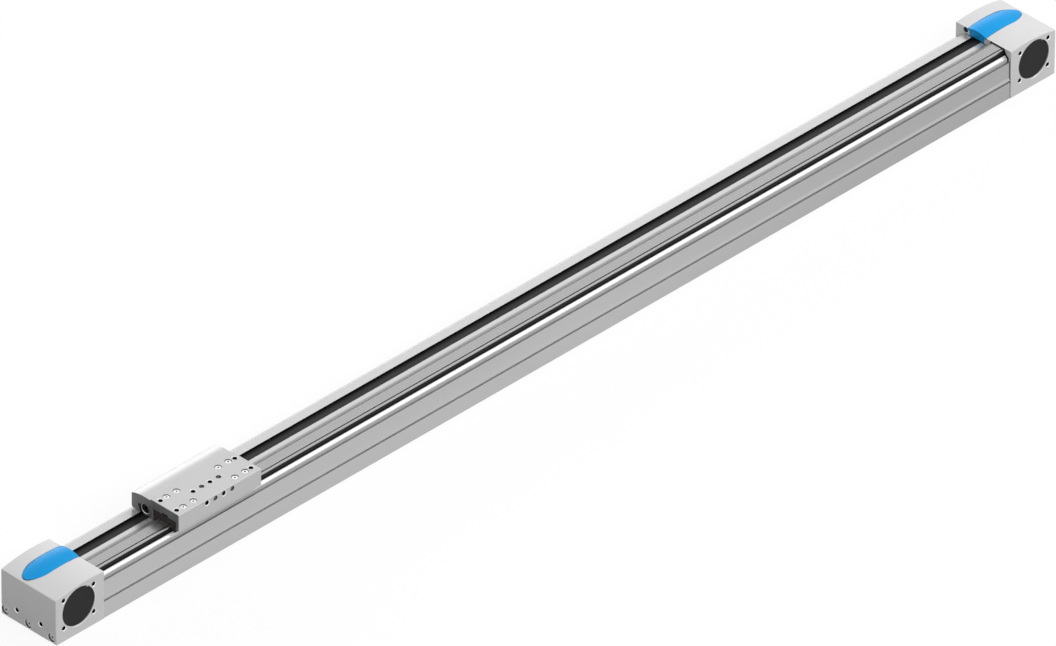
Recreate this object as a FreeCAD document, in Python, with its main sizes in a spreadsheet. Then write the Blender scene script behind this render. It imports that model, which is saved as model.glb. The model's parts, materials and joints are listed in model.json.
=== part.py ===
# Toothed belt linear axis: an extruded profile with a guide rail, a slide pulled by a toothed belt,
# and a pulley in the cap at each end. Millimetres, X along the axis, +Z up.
# The origin is the middle of the profile's underside. The near cap is at -X, and the rail side at -Y.
import FreeCAD, Part
import Sketcher
import math
import os
import re

# Driving dimensions, each a cell of the sheet
sizes = [
    # profile
    ("profile_length", 1106), ("profile_width", 67), ("profile_top", 42.2), ("profile_wall", 2.4),
    ("profile_chamfer", 0.5), ("groove_height", 17.2), ("groove_width", 2.2), ("groove_depth", 1.2),
    ("bevel_rise", 2.2), ("ledge_height", 37.5), ("ledge_width", 2.8), ("ledge_groove_width", 1.4),
    ("ledge_groove_depth", 0.9), ("shoulder_chamfer", 2.0), ("rear_slope_run", 11),
    ("rear_slope_drop", 9.4), ("chamber_floor", 9.5), ("chamber_split", 20.2),
    ("nut_slot_spacing", 29), ("nut_slot_mouth", 5.2), ("nut_slot_lip", 1.8), ("nut_slot_head", 8.6),
    ("nut_slot_head_height", 2.8), ("nut_slot_depth", 6),
    # guide rail
    ("rail_centre", -16.8), ("rail_width", 15), ("rail_top", 47.7), ("rail_seat", 35), ("rail_gap", 1.9),
    ("rail_gap_floor", 38.5), ("rail_strip_width", 10.4), ("rail_strip_rise", 0.3), ("rail_line_width", 0.7),
    ("rail_line_depth", 0.7), ("rail_edge", 0.8),
    ("track_height", 44.3), ("track_mouth", 2.6), ("track_depth", 1.1), ("seat_clearance", 0.02),
    # belt and pulleys
    ("belt_centre", 8), ("belt_width", 10), ("belt_pitch", 5), ("belt_back", 0.5), ("belt_web", 0.5),
    ("tooth_height", 1.2), ("tooth_root", 2.65), ("tooth_tip", 1.8), ("belt_clearance", 0.9),
    ("slot_clearance", 0.6), ("pulley_teeth", 16), ("mesh_clearance", 0.1), ("axis_height", 27.5),
    ("pulley_setback", 29.5), ("flange_radius", 14.4), ("flange_thickness", 1.2), ("flange_seat_radius", 9.5),
    ("shaft_radius", 8.5), ("shaft_shoulder_radius", 9.4), ("shaft_bore_radius", 5), ("shaft_reach", 29),
    # bearings
    ("bearing_radius", 15), ("bearing_width", 7), ("bearing_seat", 19.6), ("outer_race", 2),
    ("inner_race", 1.8), ("shield_thickness", 0.6), ("shield_clearance", 0.08), ("clip_width", 2.5),
    ("clip_thickness", 1), ("tunnel_radius", 12), ("fit_clearance", 0.02),
    # end caps
    ("cap_length", 56.5), ("crown_height", 50.2), ("crown_radius", 150), ("crown_offset", 36.5),
    ("cavity_clearance", 0.7), ("cap_edge", 0.6), ("port_radius", 19.2), ("port_depth", 3.2),
    ("port_cover_gap", 0.08), ("port_cover_sink", 1), ("port_cover_lip", 2), ("port_cover_edge", 0.4),
    ("pry_slot_radius", 1.2), ("pry_slot_depth", 2), ("pry_slot_angle", 53),
    ("port_hole_run", 35.3), ("port_hole_rise", 28.6), ("rear_hole_run", 32), ("rear_hole_rise", 32),
    ("cap_screw_run", 28.2), ("cap_screw_height", 5.9),
    ("cap_screw_radius", 2.5), ("cap_head_radius", 4.25), ("cap_head_height", 5), ("cap_head_sink", 1.2),
    ("cap_screw_grip", 14), ("cap_hole_clearance", 0.3), ("end_hole_run", 29), ("end_hole_height", 12.6),
    ("seal_thickness", 2), ("seal_margin", 1.1),
    ("buffer_offset", 21.6), ("buffer_height", 46.3), ("buffer_radius", 2.6), ("buffer_reach", 0.6),
    ("buffer_seat", 4),
    # belt covers
    ("cover_width", 22.4), ("cover_tip", 3), ("cover_round", 20), ("cover_tip_radius", 6),
    ("cover_crown", 52.4), ("cover_crown_radius", 124), ("cover_crown_offset", 39),
    ("cover_arch_radius", 28),
    ("cover_body_width", 17), ("cover_body_length", 40), ("cover_ledge", 47.3), ("cover_ledge_length", 20),
    ("cover_floor", 44.5), ("cover_underside", 43), ("cover_leg_width", 2), ("cover_leg_bottom", 42.4),
    ("cover_reach", 0.2), ("cover_clearance", 0.35),
    # slide
    ("slide_start", 88), ("slide_length", 98), ("slide_top", 62.7), ("slide_front", -34),
    ("slide_rear", 23.1), ("slide_edge", 0.5), ("skirt_bottom", 46), ("skirt_wall", 3.4),
    ("leg_bottom", 43.6), ("leg_inner", -2.3),
    ("leg_chamfer", 1.2), ("bridge_thickness", 8.5), ("bridge_notch", 1.5), ("bridge_notch_width", 7.8),
    ("top_step", 1.3), ("top_step_place", -0.3), ("top_round_start", 9), ("top_round_radius", 34.6),
    ("corner_hole_run", 88.3), ("corner_hole_rise", 19.6), ("row_pitch", 10), ("side_row_depth", 3.85),
    ("thread_radius", 2.1), ("thread_depth", 7), ("pin_hole_radius", 2.5), ("pin_hole_depth", 2),
    ("runner_run", 61.4), ("runner_screw_run", 12), ("runner_screw_rise", 20.4),
    ("slide_screw_radius", 1.7), ("slide_head_radius", 2.9), ("slide_head_height", 3),
    ("slide_head_sink", 1.2), ("slide_bore_radius", 3.2), ("slide_screw_grip", 4),
    # runner blocks
    ("runner_width", 26.8), ("runner_length", 26), ("runner_bottom", 42.6), ("runner_clearance", 0.3),
    ("runner_cap_length", 5), ("runner_cap_inset", 0.3),
    # belt clamps
    ("clamp_radius", 6.1), ("clamp_height", 47.9), ("clamp_length", 26), ("clamp_sink", 1.6),
    ("clamp_clearance", 0.45), ("clamp_foot_width", 5.8), ("clamp_belt_gap", 0.3), ("clamp_slit_width", 1.2),
    ("clamp_slit_height", 3.4), ("clamp_slit_depth", 12), ("clamp_slit_overlap", 0.2),
    ("tension_head_radius", 4.3), ("tension_head_height", 4), ("tension_head_sink", 1.4),
    ("tension_screw_radius", 2.5), ("tension_screw_length", 16),
    ("socket_share", 0.5),
]

doc = FreeCAD.newDocument("belt_axis")
dims = doc.addObject("Spreadsheet::Sheet", "Dims")
for row, (alias, size) in enumerate(sizes, 1):
    dims.set(f"A{row}", alias)
    dims.set(f"B{row}", str(size))
    dims.setAlias(f"B{row}", alias)
doc.recompute()
known = re.compile(r"\b(" + "|".join(alias for alias, size in sizes) + r")\b")
nodes = []


# An expression in the sheet's names, as the document writes it
def bound(expression):
    return known.sub(r"Dims.\1", str(expression))


# The present value of an expression in the sheet's names
def value(expression):
    return float(dims.evalExpression(str(expression)))


# Places that several pieces share
cap_inner = "(profile_length / 2)"
cap_outer = "(profile_length / 2 + cap_length)"
pulley_place = "(profile_length / 2 + pulley_setback)"
slide_place = "(slide_start + slide_length / 2 - profile_length / 2)"
half_width = "(profile_width / 2)"
pitch_radius = "(belt_pitch * pulley_teeth / (2 * pi))"
back_radius = f"({pitch_radius} + belt_back)"
web_radius = f"({pitch_radius} - belt_web)"
tooth_radius = f"({web_radius} - tooth_height)"
slot_low = "(belt_centre - belt_width / 2 - slot_clearance)"
slot_high = "(belt_centre + belt_width / 2 + slot_clearance)"
slot_floor = f"(axis_height + {tooth_radius} - belt_clearance)"
return_floor = f"(axis_height - {back_radius} - belt_clearance)"
return_ceiling = f"(axis_height - {tooth_radius} + belt_clearance)"
rail_front = "(rail_centre - rail_width / 2)"
rail_rear = "(rail_centre + rail_width / 2)"
groove_top = "(groove_height + groove_width)"
upper_face = f"(-{half_width} + groove_depth)"
shoulder_face = f"({upper_face} + ledge_width)"
shoulder_edge = f"({rail_front} - rail_gap)"
flange_reach = "(belt_width / 2 + slot_clearance + flange_thickness)"
cavity_radius = "(flange_radius + cavity_clearance)"
# thread and centring hole of each pair in a row, in pitches from its middle
row_pairs = ((-1.5, -0.5), (0.5, 1.5))
bridge_underside = "(slide_top - bridge_thickness)"
sides = (("near", -1), ("far", 1))


def new_body(label):
    body = doc.addObject("PartDesign::Body", label)
    body.Label = label
    return body


# A node is one piece, or one set of equal pieces, that gets a file of its own
def node(piece):
    nodes.append(piece)
    return piece


def place(piece, x="0", y="0", z="0"):
    for axis, expression in zip("xyz", (x, y, z)):
        piece.setExpression("Placement.Base." + axis, bound(expression))


# A sketch on one of the body's own planes, moved along its normal
def new_sketch(body, role, offset="0"):
    sketch = body.newObject("Sketcher::SketchObject", body.Name + "_sketch")
    plane = [feature for feature in body.Origin.OriginFeatures if feature.Role == role][0]
    sketch.AttachmentSupport = [(plane, "")]
    sketch.MapMode = "FlatFace"
    sketch.setExpression("AttachmentOffset.Base.z", bound(offset))
    return sketch


# Adds constraints and binds those that carry a size
def constrain(sketch, ties, measures):
    sketch.addConstraint(ties)
    first = sketch.ConstraintCount
    sketch.addConstraint([Sketcher.Constraint(*parts, value(size)) for parts, size in measures])
    for index, (parts, size) in enumerate(measures):
        sketch.setExpression(f"Constraints[{first + index}]", bound(size))


# The arc from start to end: turn is 1 for anticlockwise and -1 for clockwise, large for more than half a turn
def arc_between(start, end, radius, turn, large):
    chord = end - start
    lift = math.sqrt(max(radius ** 2 - chord.Length ** 2 / 4, 0))
    side = -turn if large else turn
    left = FreeCAD.Vector(-chord.y, chord.x, 0).normalize()
    centre = start + chord * 0.5 + left * (lift * side)
    first, last = (start, end) if turn > 0 else (end, start)
    angles = [math.atan2(point.y - centre.y, point.x - centre.x) for point in (first, last)]
    circle = Part.Circle(centre, FreeCAD.Vector(0, 0, 1), radius)
    return Part.ArcOfCircle(circle, angles[0], angles[1])


# A closed outline. A point is (across, up), or (across, up, radius, turn, large) where an arc follows it.
def outline(sketch, points):
    first = sketch.GeometryCount
    count = len(points)
    corners = [FreeCAD.Vector(value(point[0]), value(point[1]), 0) for point in points]
    lines, ends, measures = [], [], []
    for index, point in enumerate(points):
        start, end = corners[index], corners[(index + 1) % count]
        if len(point) == 2:
            lines.append(Part.LineSegment(start, end))
            ends.append((1, 2))
        else:
            radius, turn, large = point[2:]
            lines.append(arc_between(start, end, value(radius), turn, large))
            ends.append((1, 2) if turn > 0 else (2, 1))
            measures.append((("Radius", first + index), radius))
    sketch.addGeometry(lines, False)
    ties = []
    for index, point in enumerate(points):
        following = (index + 1) % count
        ties.append(Sketcher.Constraint("Coincident", first + index, ends[index][1],
                                        first + following, ends[following][0]))
        measures.append((("DistanceX", -1, 1, first + index, ends[index][0]), point[0]))
        measures.append((("DistanceY", -1, 1, first + index, ends[index][0]), point[1]))
    constrain(sketch, ties, measures)


def rectangle(sketch, low_across, low_up, high_across, high_up):
    outline(sketch, [(low_across, low_up), (high_across, low_up),
                     (high_across, high_up), (low_across, high_up)])


def circle(sketch, across, up, radius):
    index = sketch.GeometryCount
    middle = FreeCAD.Vector(value(across), value(up), 0)
    sketch.addGeometry(Part.Circle(middle, FreeCAD.Vector(0, 0, 1), value(radius)), False)
    constrain(sketch, [], [(("DistanceX", -1, 1, index, 3), across), (("DistanceY", -1, 1, index, 3), up),
                           (("Radius", index), radius)])


# A hexagon with two corners on the across axis
def hexagon(sketch, across, up, radius):
    turns = [math.radians(60 * corner) for corner in range(6)]
    outline(sketch, [(f"{across} + {math.cos(turn):.9f} * {radius}", f"{up} + {math.sin(turn):.9f} * {radius}")
                     for turn in turns])


def pad(body, sketch, length, reverse=False):
    feature = body.newObject("PartDesign::Pad", body.Name + "_pad")
    feature.Profile = sketch
    feature.Reversed = reverse
    feature.setExpression("Length", bound(length))
    return feature


def pocket(body, sketch, depth, reverse=False):
    feature = body.newObject("PartDesign::Pocket", body.Name + "_pocket")
    feature.Profile = sketch
    feature.Reversed = reverse
    feature.setExpression("Length", bound(depth))
    return feature


def revolve(body, sketch, axis, kind="Revolution"):
    feature = body.newObject("PartDesign::" + kind, body.Name + "_turned")
    feature.Profile = sketch
    feature.ReferenceAxis = (sketch, [axis])
    feature.Angle = 360
    return feature


def chamfer_edges(body, base, size, wanted):
    doc.recompute()
    names = [f"Edge{index}" for index, edge in enumerate(base.Shape.Edges, 1) if wanted(edge)]
    feature = body.newObject("PartDesign::Chamfer", body.Name + "_chamfer")
    feature.Base = (base, names)
    feature.setExpression("Size", bound(size))
    return feature


# Equal pieces that share one node
def group(label, pieces):
    compound = doc.addObject("Part::Compound", label)
    compound.Label = label
    compound.Links = pieces
    return node(compound)


# A ring or disc about the Y axis, from (radius, along) corners
def turned_about_y(label, corners):
    body = new_body(label)
    sketch = new_sketch(body, "XY_Plane")
    outline(sketch, corners)
    revolve(body, sketch, "V_Axis")
    return body


def ring_about_y(label, inner, outer, low, high):
    return turned_about_y(label, [(inner, low), (outer, low), (outer, high), (inner, high)])


# A socket head screw with its head's face at the local origin, its shank along -Z
def socket_screw(label, head_radius, head_height, shank_radius, length):
    body = new_body(label)
    sketch = new_sketch(body, "XZ_Plane")
    outline(sketch, [("0", f"-{length}"), (shank_radius, f"-{length}"), (shank_radius, f"-{head_height}"),
                     (head_radius, f"-{head_height}"), (head_radius, "0"), ("0", "0")])
    revolve(body, sketch, "V_Axis")
    socket = new_sketch(body, "XY_Plane")
    hexagon(socket, "0", "0", f"({head_radius} * socket_share)")
    pocket(body, socket, f"{head_height} * socket_share")
    return body


# Profile
def build_profile():
    body = node(new_body("profile"))
    section = new_sketch(body, "YZ_Plane", "-profile_length / 2")
    low = f"(-{half_width})"
    slot_shoulder = "nut_slot_lip + nut_slot_head_height"
    outer = [(f"{low} + profile_chamfer", "0")]
    for side in (-1, 1):
        middle = f"({side} * nut_slot_spacing / 2)"
        half_slot = [("nut_slot_mouth", "0"), ("nut_slot_mouth", "nut_slot_lip"),
                     ("nut_slot_head", "nut_slot_lip"),
                     ("nut_slot_head", slot_shoulder), ("nut_slot_mouth", slot_shoulder),
                     ("nut_slot_mouth", "nut_slot_depth")]
        outer += [(f"{middle} - {width} / 2", up) for width, up in half_slot]
        outer += [(f"{middle} + {width} / 2", up) for width, up in reversed(half_slot)]
    outer += [  # rear side, up to the bevelled corner and the strip beside the belt slot
        (f"{half_width} - profile_chamfer", "0"), (half_width, "profile_chamfer"),
        (half_width, "groove_height"), (f"{half_width} - groove_depth", "groove_height"),
        (f"{half_width} - groove_depth", groove_top), (half_width, groove_top),
        (half_width, "profile_top - rear_slope_drop"), (f"{half_width} - rear_slope_run", "profile_top"),
        (slot_high, "profile_top"), (slot_high, slot_floor),
        (slot_low, slot_floor), (slot_low, "profile_top"),
    ]
    outer += [  # rail seat
        (f"{rail_rear} + rail_gap", "profile_top"), (f"{rail_rear} + rail_gap", "rail_gap_floor"),
        (f"{rail_rear} + seat_clearance", "rail_gap_floor"), (f"{rail_rear} + seat_clearance", "rail_seat"),
        (f"{rail_front} - seat_clearance", "rail_seat"), (f"{rail_front} - seat_clearance", "rail_gap_floor"),
        (shoulder_edge, "rail_gap_floor"), (shoulder_edge, "profile_top"),
    ]
    outer += [  # shoulder, grooved ledge, recessed face, bevel and groove of the front side
        (f"{shoulder_face} + shoulder_chamfer", "profile_top"),
        (shoulder_face, "profile_top - shoulder_chamfer"),
        (shoulder_face, "ledge_height - ledge_groove_depth"),
        (f"{shoulder_face} - ledge_groove_width", "ledge_height - ledge_groove_depth"),
        (f"{shoulder_face} - ledge_groove_width", "ledge_height"), (upper_face, "ledge_height"),
        (upper_face, f"{groove_top} + bevel_rise"), (low, groove_top), (upper_face, groove_top),
        (upper_face, "groove_height"),
        (low, "groove_height"), (low, "profile_chamfer"),
    ]
    outline(section, outer)
    # screw channels
    for side in (-1, 0, 1):
        circle(section, f"{side} * cap_screw_run", "cap_screw_height", "cap_screw_radius + fit_clearance")
    # hollow chambers and the channel of the belt's return run
    rectangle(section, f"{low} + groove_depth + profile_wall", "chamber_floor",
              f"{slot_low} - profile_wall", "chamber_split - profile_wall / 2")
    rectangle(section, f"{upper_face} + profile_wall", "chamber_split + profile_wall / 2",
              f"{slot_low} - profile_wall", "rail_seat - profile_wall")
    rectangle(section, slot_low, return_floor, slot_high, return_ceiling)
    rectangle(section, slot_low, f"{return_ceiling} + profile_wall",
              slot_high, f"{slot_floor} - profile_wall")
    outline(section, [
        (f"{slot_high} + profile_wall", "chamber_floor"),
        (f"{half_width} - groove_depth - profile_wall", "chamber_floor"),
        (f"{half_width} - groove_depth - profile_wall", "profile_top - rear_slope_drop - profile_wall"),
        (f"{half_width} - rear_slope_run - profile_wall / 2", "profile_top - profile_wall"),
        (f"{slot_high} + profile_wall", "profile_top - profile_wall")])
    pad(body, section, "profile_length")


# Guide rail, with a raised strip between two fine grooves on top and a ball track in each flank
def build_rail():
    body = node(new_body("guide_rail"))
    section = new_sketch(body, "YZ_Plane", "-profile_length / 2")
    half = "(rail_width / 2)"
    strip = "(rail_strip_width / 2)"
    flank = [(half, "rail_seat"), (half, "track_height - track_mouth / 2"),
             (f"{half} - track_depth", "track_height - track_mouth / 4"),
             (f"{half} - track_depth", "track_height + track_mouth / 4"),
             (half, "track_height + track_mouth / 2"),
             (half, "rail_top - rail_strip_rise - rail_edge", "rail_edge", 1, False),
             (f"{half} - rail_edge", "rail_top - rail_strip_rise"),
             (f"{strip} + rail_line_width", "rail_top - rail_strip_rise"),
             (f"{strip} + rail_line_width", "rail_top - rail_strip_rise - rail_line_depth"),
             (strip, "rail_top - rail_strip_rise - rail_line_depth"), (strip, "rail_top")]
    corners = [(f"rail_centre + {point[0]}", *point[1:]) for point in flank]
    mirrored = [(f"rail_centre - ({point[0]})", point[1]) for point in reversed(flank)]
    # the rounded edge of the mirrored flank starts at the corner nearer the strip
    mirrored[4] = (*mirrored[4], "rail_edge", 1, False)
    outline(section, corners + mirrored)
    pad(body, section, "profile_length")


# End cap: side shape with a crowned top, then its cavity, bores and recesses
def build_cap(name, sign):
    body = node(new_body(name + "_end_cap"))

    def along(expression):
        return f"{sign} * ({expression})"

    shape = new_sketch(body, "XZ_Plane", half_width)
    outer_top = "(crown_height - crown_radius + sqrt(crown_radius ^ 2 - crown_offset ^ 2))"
    inner_top = "(crown_height - crown_radius + sqrt(crown_radius ^ 2 - (cap_length - crown_offset) ^ 2))"
    outline(shape, [(along(cap_inner), "0"), (along(cap_outer), "0"),
                    (along(cap_outer), outer_top, "crown_radius", sign, False),
                    (along(cap_inner), inner_top)])
    block = pad(body, shape, "profile_width", reverse=True)
    chamfer_edges(body, block, "cap_edge", lambda edge: visible_cap_edge(edge.CenterOfMass, sign))

    # cavity for the pulley and the belt, open towards the profile
    cavity = new_sketch(body, "XZ_Plane", f"{flange_reach} + cavity_clearance - belt_centre")
    outline(cavity, [(along(cap_inner), f"axis_height + {cavity_radius}"),
                     (along(pulley_place), f"axis_height + {cavity_radius}", cavity_radius, -sign, False),
                     (along(f"{pulley_place} + {cavity_radius}"), "axis_height", cavity_radius, -sign, False),
                     (along(pulley_place), f"axis_height - {cavity_radius}"),
                     (along(cap_inner), f"axis_height - {cavity_radius}")])
    pocket(body, cavity, f"2 * ({flange_reach} + cavity_clearance)")

    # port recess, bearing bore and shaft tunnel from both sides, with the port's threads
    for side, reverse, hole_run, hole_rise in ((1, False, "port_hole_run", "port_hole_rise"),
                                               (-1, True, "rear_hole_run", "rear_hole_rise")):
        for radius, start, depth in (
                ("port_radius", half_width, "port_depth"),
                ("(bearing_radius + fit_clearance)", half_width, f"{half_width} - bearing_seat"),
                ("tunnel_radius", "bearing_seat", f"bearing_seat + {side} * belt_centre")):
            bore = new_sketch(body, "XZ_Plane", f"{side} * {start}")
            circle(bore, along(pulley_place), "axis_height", radius)
            pocket(body, bore, depth, reverse)
        holes = new_sketch(body, "XZ_Plane", f"{side} * {half_width}")
        for run, rise in ((-1, -1), (-1, 1), (1, -1), (1, 1)):
            circle(holes, f"{along(pulley_place)} + {run} * {hole_run} / 2",
                   f"axis_height + {rise} * {hole_rise} / 2", "thread_radius")
        pocket(body, holes, "thread_depth", reverse)

    # screw holes and threads in the outer end
    from_near = sign < 0
    heads = new_sketch(body, "YZ_Plane", along(cap_outer))
    shanks = new_sketch(body, "YZ_Plane", along(cap_outer))
    for side in (-1, 0, 1):
        circle(heads, f"{side} * cap_screw_run", "cap_screw_height", "cap_head_radius + cap_hole_clearance")
        circle(shanks, f"{side} * cap_screw_run", "cap_screw_height", "cap_screw_radius + cap_hole_clearance")
    pocket(body, heads, "cap_head_height + cap_head_sink", from_near)
    pocket(body, shanks, "cap_length", from_near)
    threads = new_sketch(body, "YZ_Plane", along(cap_outer))
    for side in (-1, 1):
        circle(threads, f"{side} * end_hole_run / 2", "end_hole_height", "thread_radius")
    pocket(body, threads, "thread_depth", from_near)

    # recesses of the inner face for the sealing plate and the buffer
    plate = new_sketch(body, "YZ_Plane", along(cap_inner))
    outline(plate, seal_outline("fit_clearance"))
    pocket(body, plate, "seal_thickness", not from_near)
    stop = new_sketch(body, "YZ_Plane", along(cap_inner))
    circle(stop, "buffer_offset", "buffer_height", "buffer_radius + fit_clearance")
    pocket(body, stop, "buffer_seat", not from_near)

    # seat of the belt cover, cut from above
    for points, floor in cover_plans(sign, "cover_clearance", "cover_reach"):
        seat = new_sketch(body, "XY_Plane", "cover_crown")
        outline(seat, points)
        pocket(body, seat, f"cover_crown - {floor}")
    trunk = new_sketch(body, "XY_Plane", "cover_crown")
    outline(trunk, cover_trunk(sign, "cover_clearance", "cover_reach"))
    pocket(body, trunk, "cover_crown - profile_top + cavity_clearance")


# The outer end's edges and the two crowned edges along the top
def visible_cap_edge(middle, sign):
    at_outer_end = abs(middle.x - sign * value(cap_outer)) < 1e-3
    on_side = abs(abs(middle.y) - value(half_width)) < 1e-3
    at_inner_end = abs(middle.x - sign * value(cap_inner)) < 1e-3
    return at_outer_end or (on_side and middle.z > value("axis_height") and not at_inner_end)


# Outline of the sealing plate round the rail and the shoulder
def seal_outline(gap):
    top = f"(rail_top + seal_margin + {gap})"
    rear = f"({rail_rear} + seal_margin + {gap})"
    front = f"({rail_front} - seal_margin - {gap})"
    shoulder = f"({shoulder_face} - seal_margin - {gap})"
    return [(rear, f"ledge_height - {gap}"), (rear, top), (front, top),
            (f"{front} - rail_gap", "profile_top + shoulder_chamfer"),
            (shoulder, "profile_top - shoulder_chamfer / 2"), (shoulder, f"ledge_height - {gap}")]


# Plans of the belt cover with their undersides: the flange, and the deeper nose beyond the ledge
def cover_plans(sign, gap, reach):
    return ((cover_plan(sign, gap, f"{cap_inner} - {reach}"), "cover_ledge"),
            (cover_plan(sign, gap, f"{cap_inner} + cover_ledge_length - {gap}"), "cover_floor"))


# Straight sides that close in two large arcs and a small one at the tip, each tangent to the next
def cover_plan(sign, gap, start):
    half = f"(cover_width / 2 + {gap})"
    tip = f"(cover_tip_radius + {gap})"
    run = "(cover_round - cover_tip_radius)"
    flank = f"(({run} ^ 2 + {half} ^ 2 - {tip} ^ 2) / (2 * ({half} - {tip})))"
    nose = f"({cap_outer} - cover_tip - cover_round)"
    meet = f"({nose} + {run} * {flank} / ({flank} - {tip}))"
    meet_half = f"(({flank} - {half}) * {tip} / ({flank} - {tip}))"
    return [(f"{sign} * ({start})", f"belt_centre - {half}"),
            (f"{sign} * {nose}", f"belt_centre - {half}", flank, sign, False),
            (f"{sign} * {meet}", f"belt_centre - {meet_half}", tip, sign, False),
            (f"{sign} * {meet}", f"belt_centre + {meet_half}", flank, sign, False),
            (f"{sign} * {nose}", f"belt_centre + {half}"),
            (f"{sign} * ({start})", f"belt_centre + {half}")]


def cover_trunk(sign, gap, reach):
    half = f"(cover_body_width / 2 + {gap})"
    ends = [f"{sign} * ({cap_inner} - {reach})", f"{sign} * ({cap_inner} + cover_body_length + {gap})"]
    return [(ends[0], f"belt_centre - {half}"), (ends[1], f"belt_centre - {half}"),
            (ends[1], f"belt_centre + {half}"), (ends[0], f"belt_centre + {half}")]


# Belt cover: an arched lid let into the cap, whose body straddles the belt
def build_cover(name, sign):
    body = node(new_body(name + "_belt_cover"))
    for points, floor in cover_plans(sign, "0", "cover_reach"):
        plan = new_sketch(body, "XY_Plane", floor)
        outline(plan, points)
        pad(body, plan, f"cover_crown - {floor}")
    trunk = new_sketch(body, "XY_Plane", "cover_underside")
    outline(trunk, cover_trunk(sign, "0", "cover_reach"))
    pad(body, trunk, "cover_crown - cover_underside")
    for side in (-1, 1):
        leg = new_sketch(body, "XY_Plane", "cover_leg_bottom")
        edges = [f"belt_centre + {side} * (cover_body_width / 2 - cover_leg_width)",
                 f"belt_centre + {side} * cover_body_width / 2"]
        ends = [f"{sign} * ({cap_inner} - cover_reach)", f"{sign} * ({cap_inner} + cover_body_length)"]
        rectangle(leg, ends[0], edges[0], ends[1], edges[1])
        pad(body, leg, "cover_underside - cover_leg_bottom")
    # the crown: what lies above an arch that is swung about an axis across the cap
    crown = new_sketch(body, "YZ_Plane", f"{sign} * ({cap_outer} - cover_crown_offset)")
    crown.setExpression("AttachmentOffset.Base.y", bound("cover_crown - cover_crown_radius"))
    half = "(cover_width / 2 + cover_tip)"
    rim = f"(cover_crown_radius - cover_arch_radius + sqrt(cover_arch_radius ^ 2 - {half} ^ 2))"
    outline(crown, [(f"belt_centre + {half}", rim, "cover_arch_radius", 1, False),
                    (f"belt_centre - {half}", rim),
                    (f"belt_centre - {half}", "cover_crown_radius + cover_width"),
                    (f"belt_centre + {half}", "cover_crown_radius + cover_width")])
    revolve(body, crown, "H_Axis", "Groove")


def build_seal(name, sign):
    body = node(new_body(name + "_rail_seal"))
    plate = new_sketch(body, "YZ_Plane", f"{sign} * {cap_inner}")
    outline(plate, seal_outline("0"))
    pad(body, plate, "seal_thickness", reverse=sign < 0)


def build_buffer(name, sign):
    body = node(new_body(name + "_stop_buffer"))
    sketch = new_sketch(body, "XY_Plane")
    face = f"-{sign} * buffer_reach"
    outline(sketch, [(f"{sign} * buffer_seat", "0"), (f"{sign} * buffer_seat", "buffer_radius"),
                     ("0", "buffer_radius"), (face, "buffer_radius - buffer_reach"), (face, "0")])
    revolve(body, sketch, "H_Axis")
    place(body, f"{sign} * {cap_inner}", "buffer_offset", "buffer_height")


# Round cover of a port, with a lip that centres it in the bearing bore and a slot to lever it out
def build_port_cover(name, sign, label, side):
    face = f"{side} * ({half_width} - port_cover_sink)"
    rim = f"{side} * ({half_width} - port_cover_sink - port_cover_edge)"
    back = f"{side} * ({half_width} - port_depth)"
    end = f"{side} * ({half_width} - port_depth - port_cover_lip)"
    radius = "(port_radius - port_cover_gap)"
    lip = "(bearing_radius - port_cover_gap)"
    body = node(turned_about_y(f"{name}_{label}_port_cover", [
        ("0", face), (f"{radius} - port_cover_edge", face), (radius, rim), (radius, back),
        (lip, back), (lip, end),
        (f"{lip} - port_cover_lip", end), (f"{lip} - port_cover_lip", back), ("0", back)]))
    slot = new_sketch(body, "XZ_Plane", f"-{side} * ({half_width} - port_cover_sink)")
    circle(slot, f"{radius} * cos(pry_slot_angle)", f"{radius} * sin(pry_slot_angle)", "pry_slot_radius")
    pocket(body, slot, "pry_slot_depth", reverse=side > 0)
    place(body, f"{sign} * {pulley_place}", "0", "axis_height")


# Turns a screw that stands along Z so that its head looks along X
def lying(sign):
    return FreeCAD.Placement(FreeCAD.Vector(), FreeCAD.Rotation(FreeCAD.Vector(0, 1, 0), 90 * sign))


def build_cap_screws(name, sign):
    screws = []
    for side in (-1, 0, 1):
        screw = socket_screw(f"{name}_cap_screw", "cap_head_radius", "cap_head_height", "cap_screw_radius",
                             "(cap_length - cap_head_sink + cap_screw_grip)")
        screw.Placement = lying(sign)
        place(screw, f"{sign} * ({cap_outer} - cap_head_sink)", f"{side} * cap_screw_run", "cap_screw_height")
        screws.append(screw)
    group(name + "_cap_screws", screws)


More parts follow.
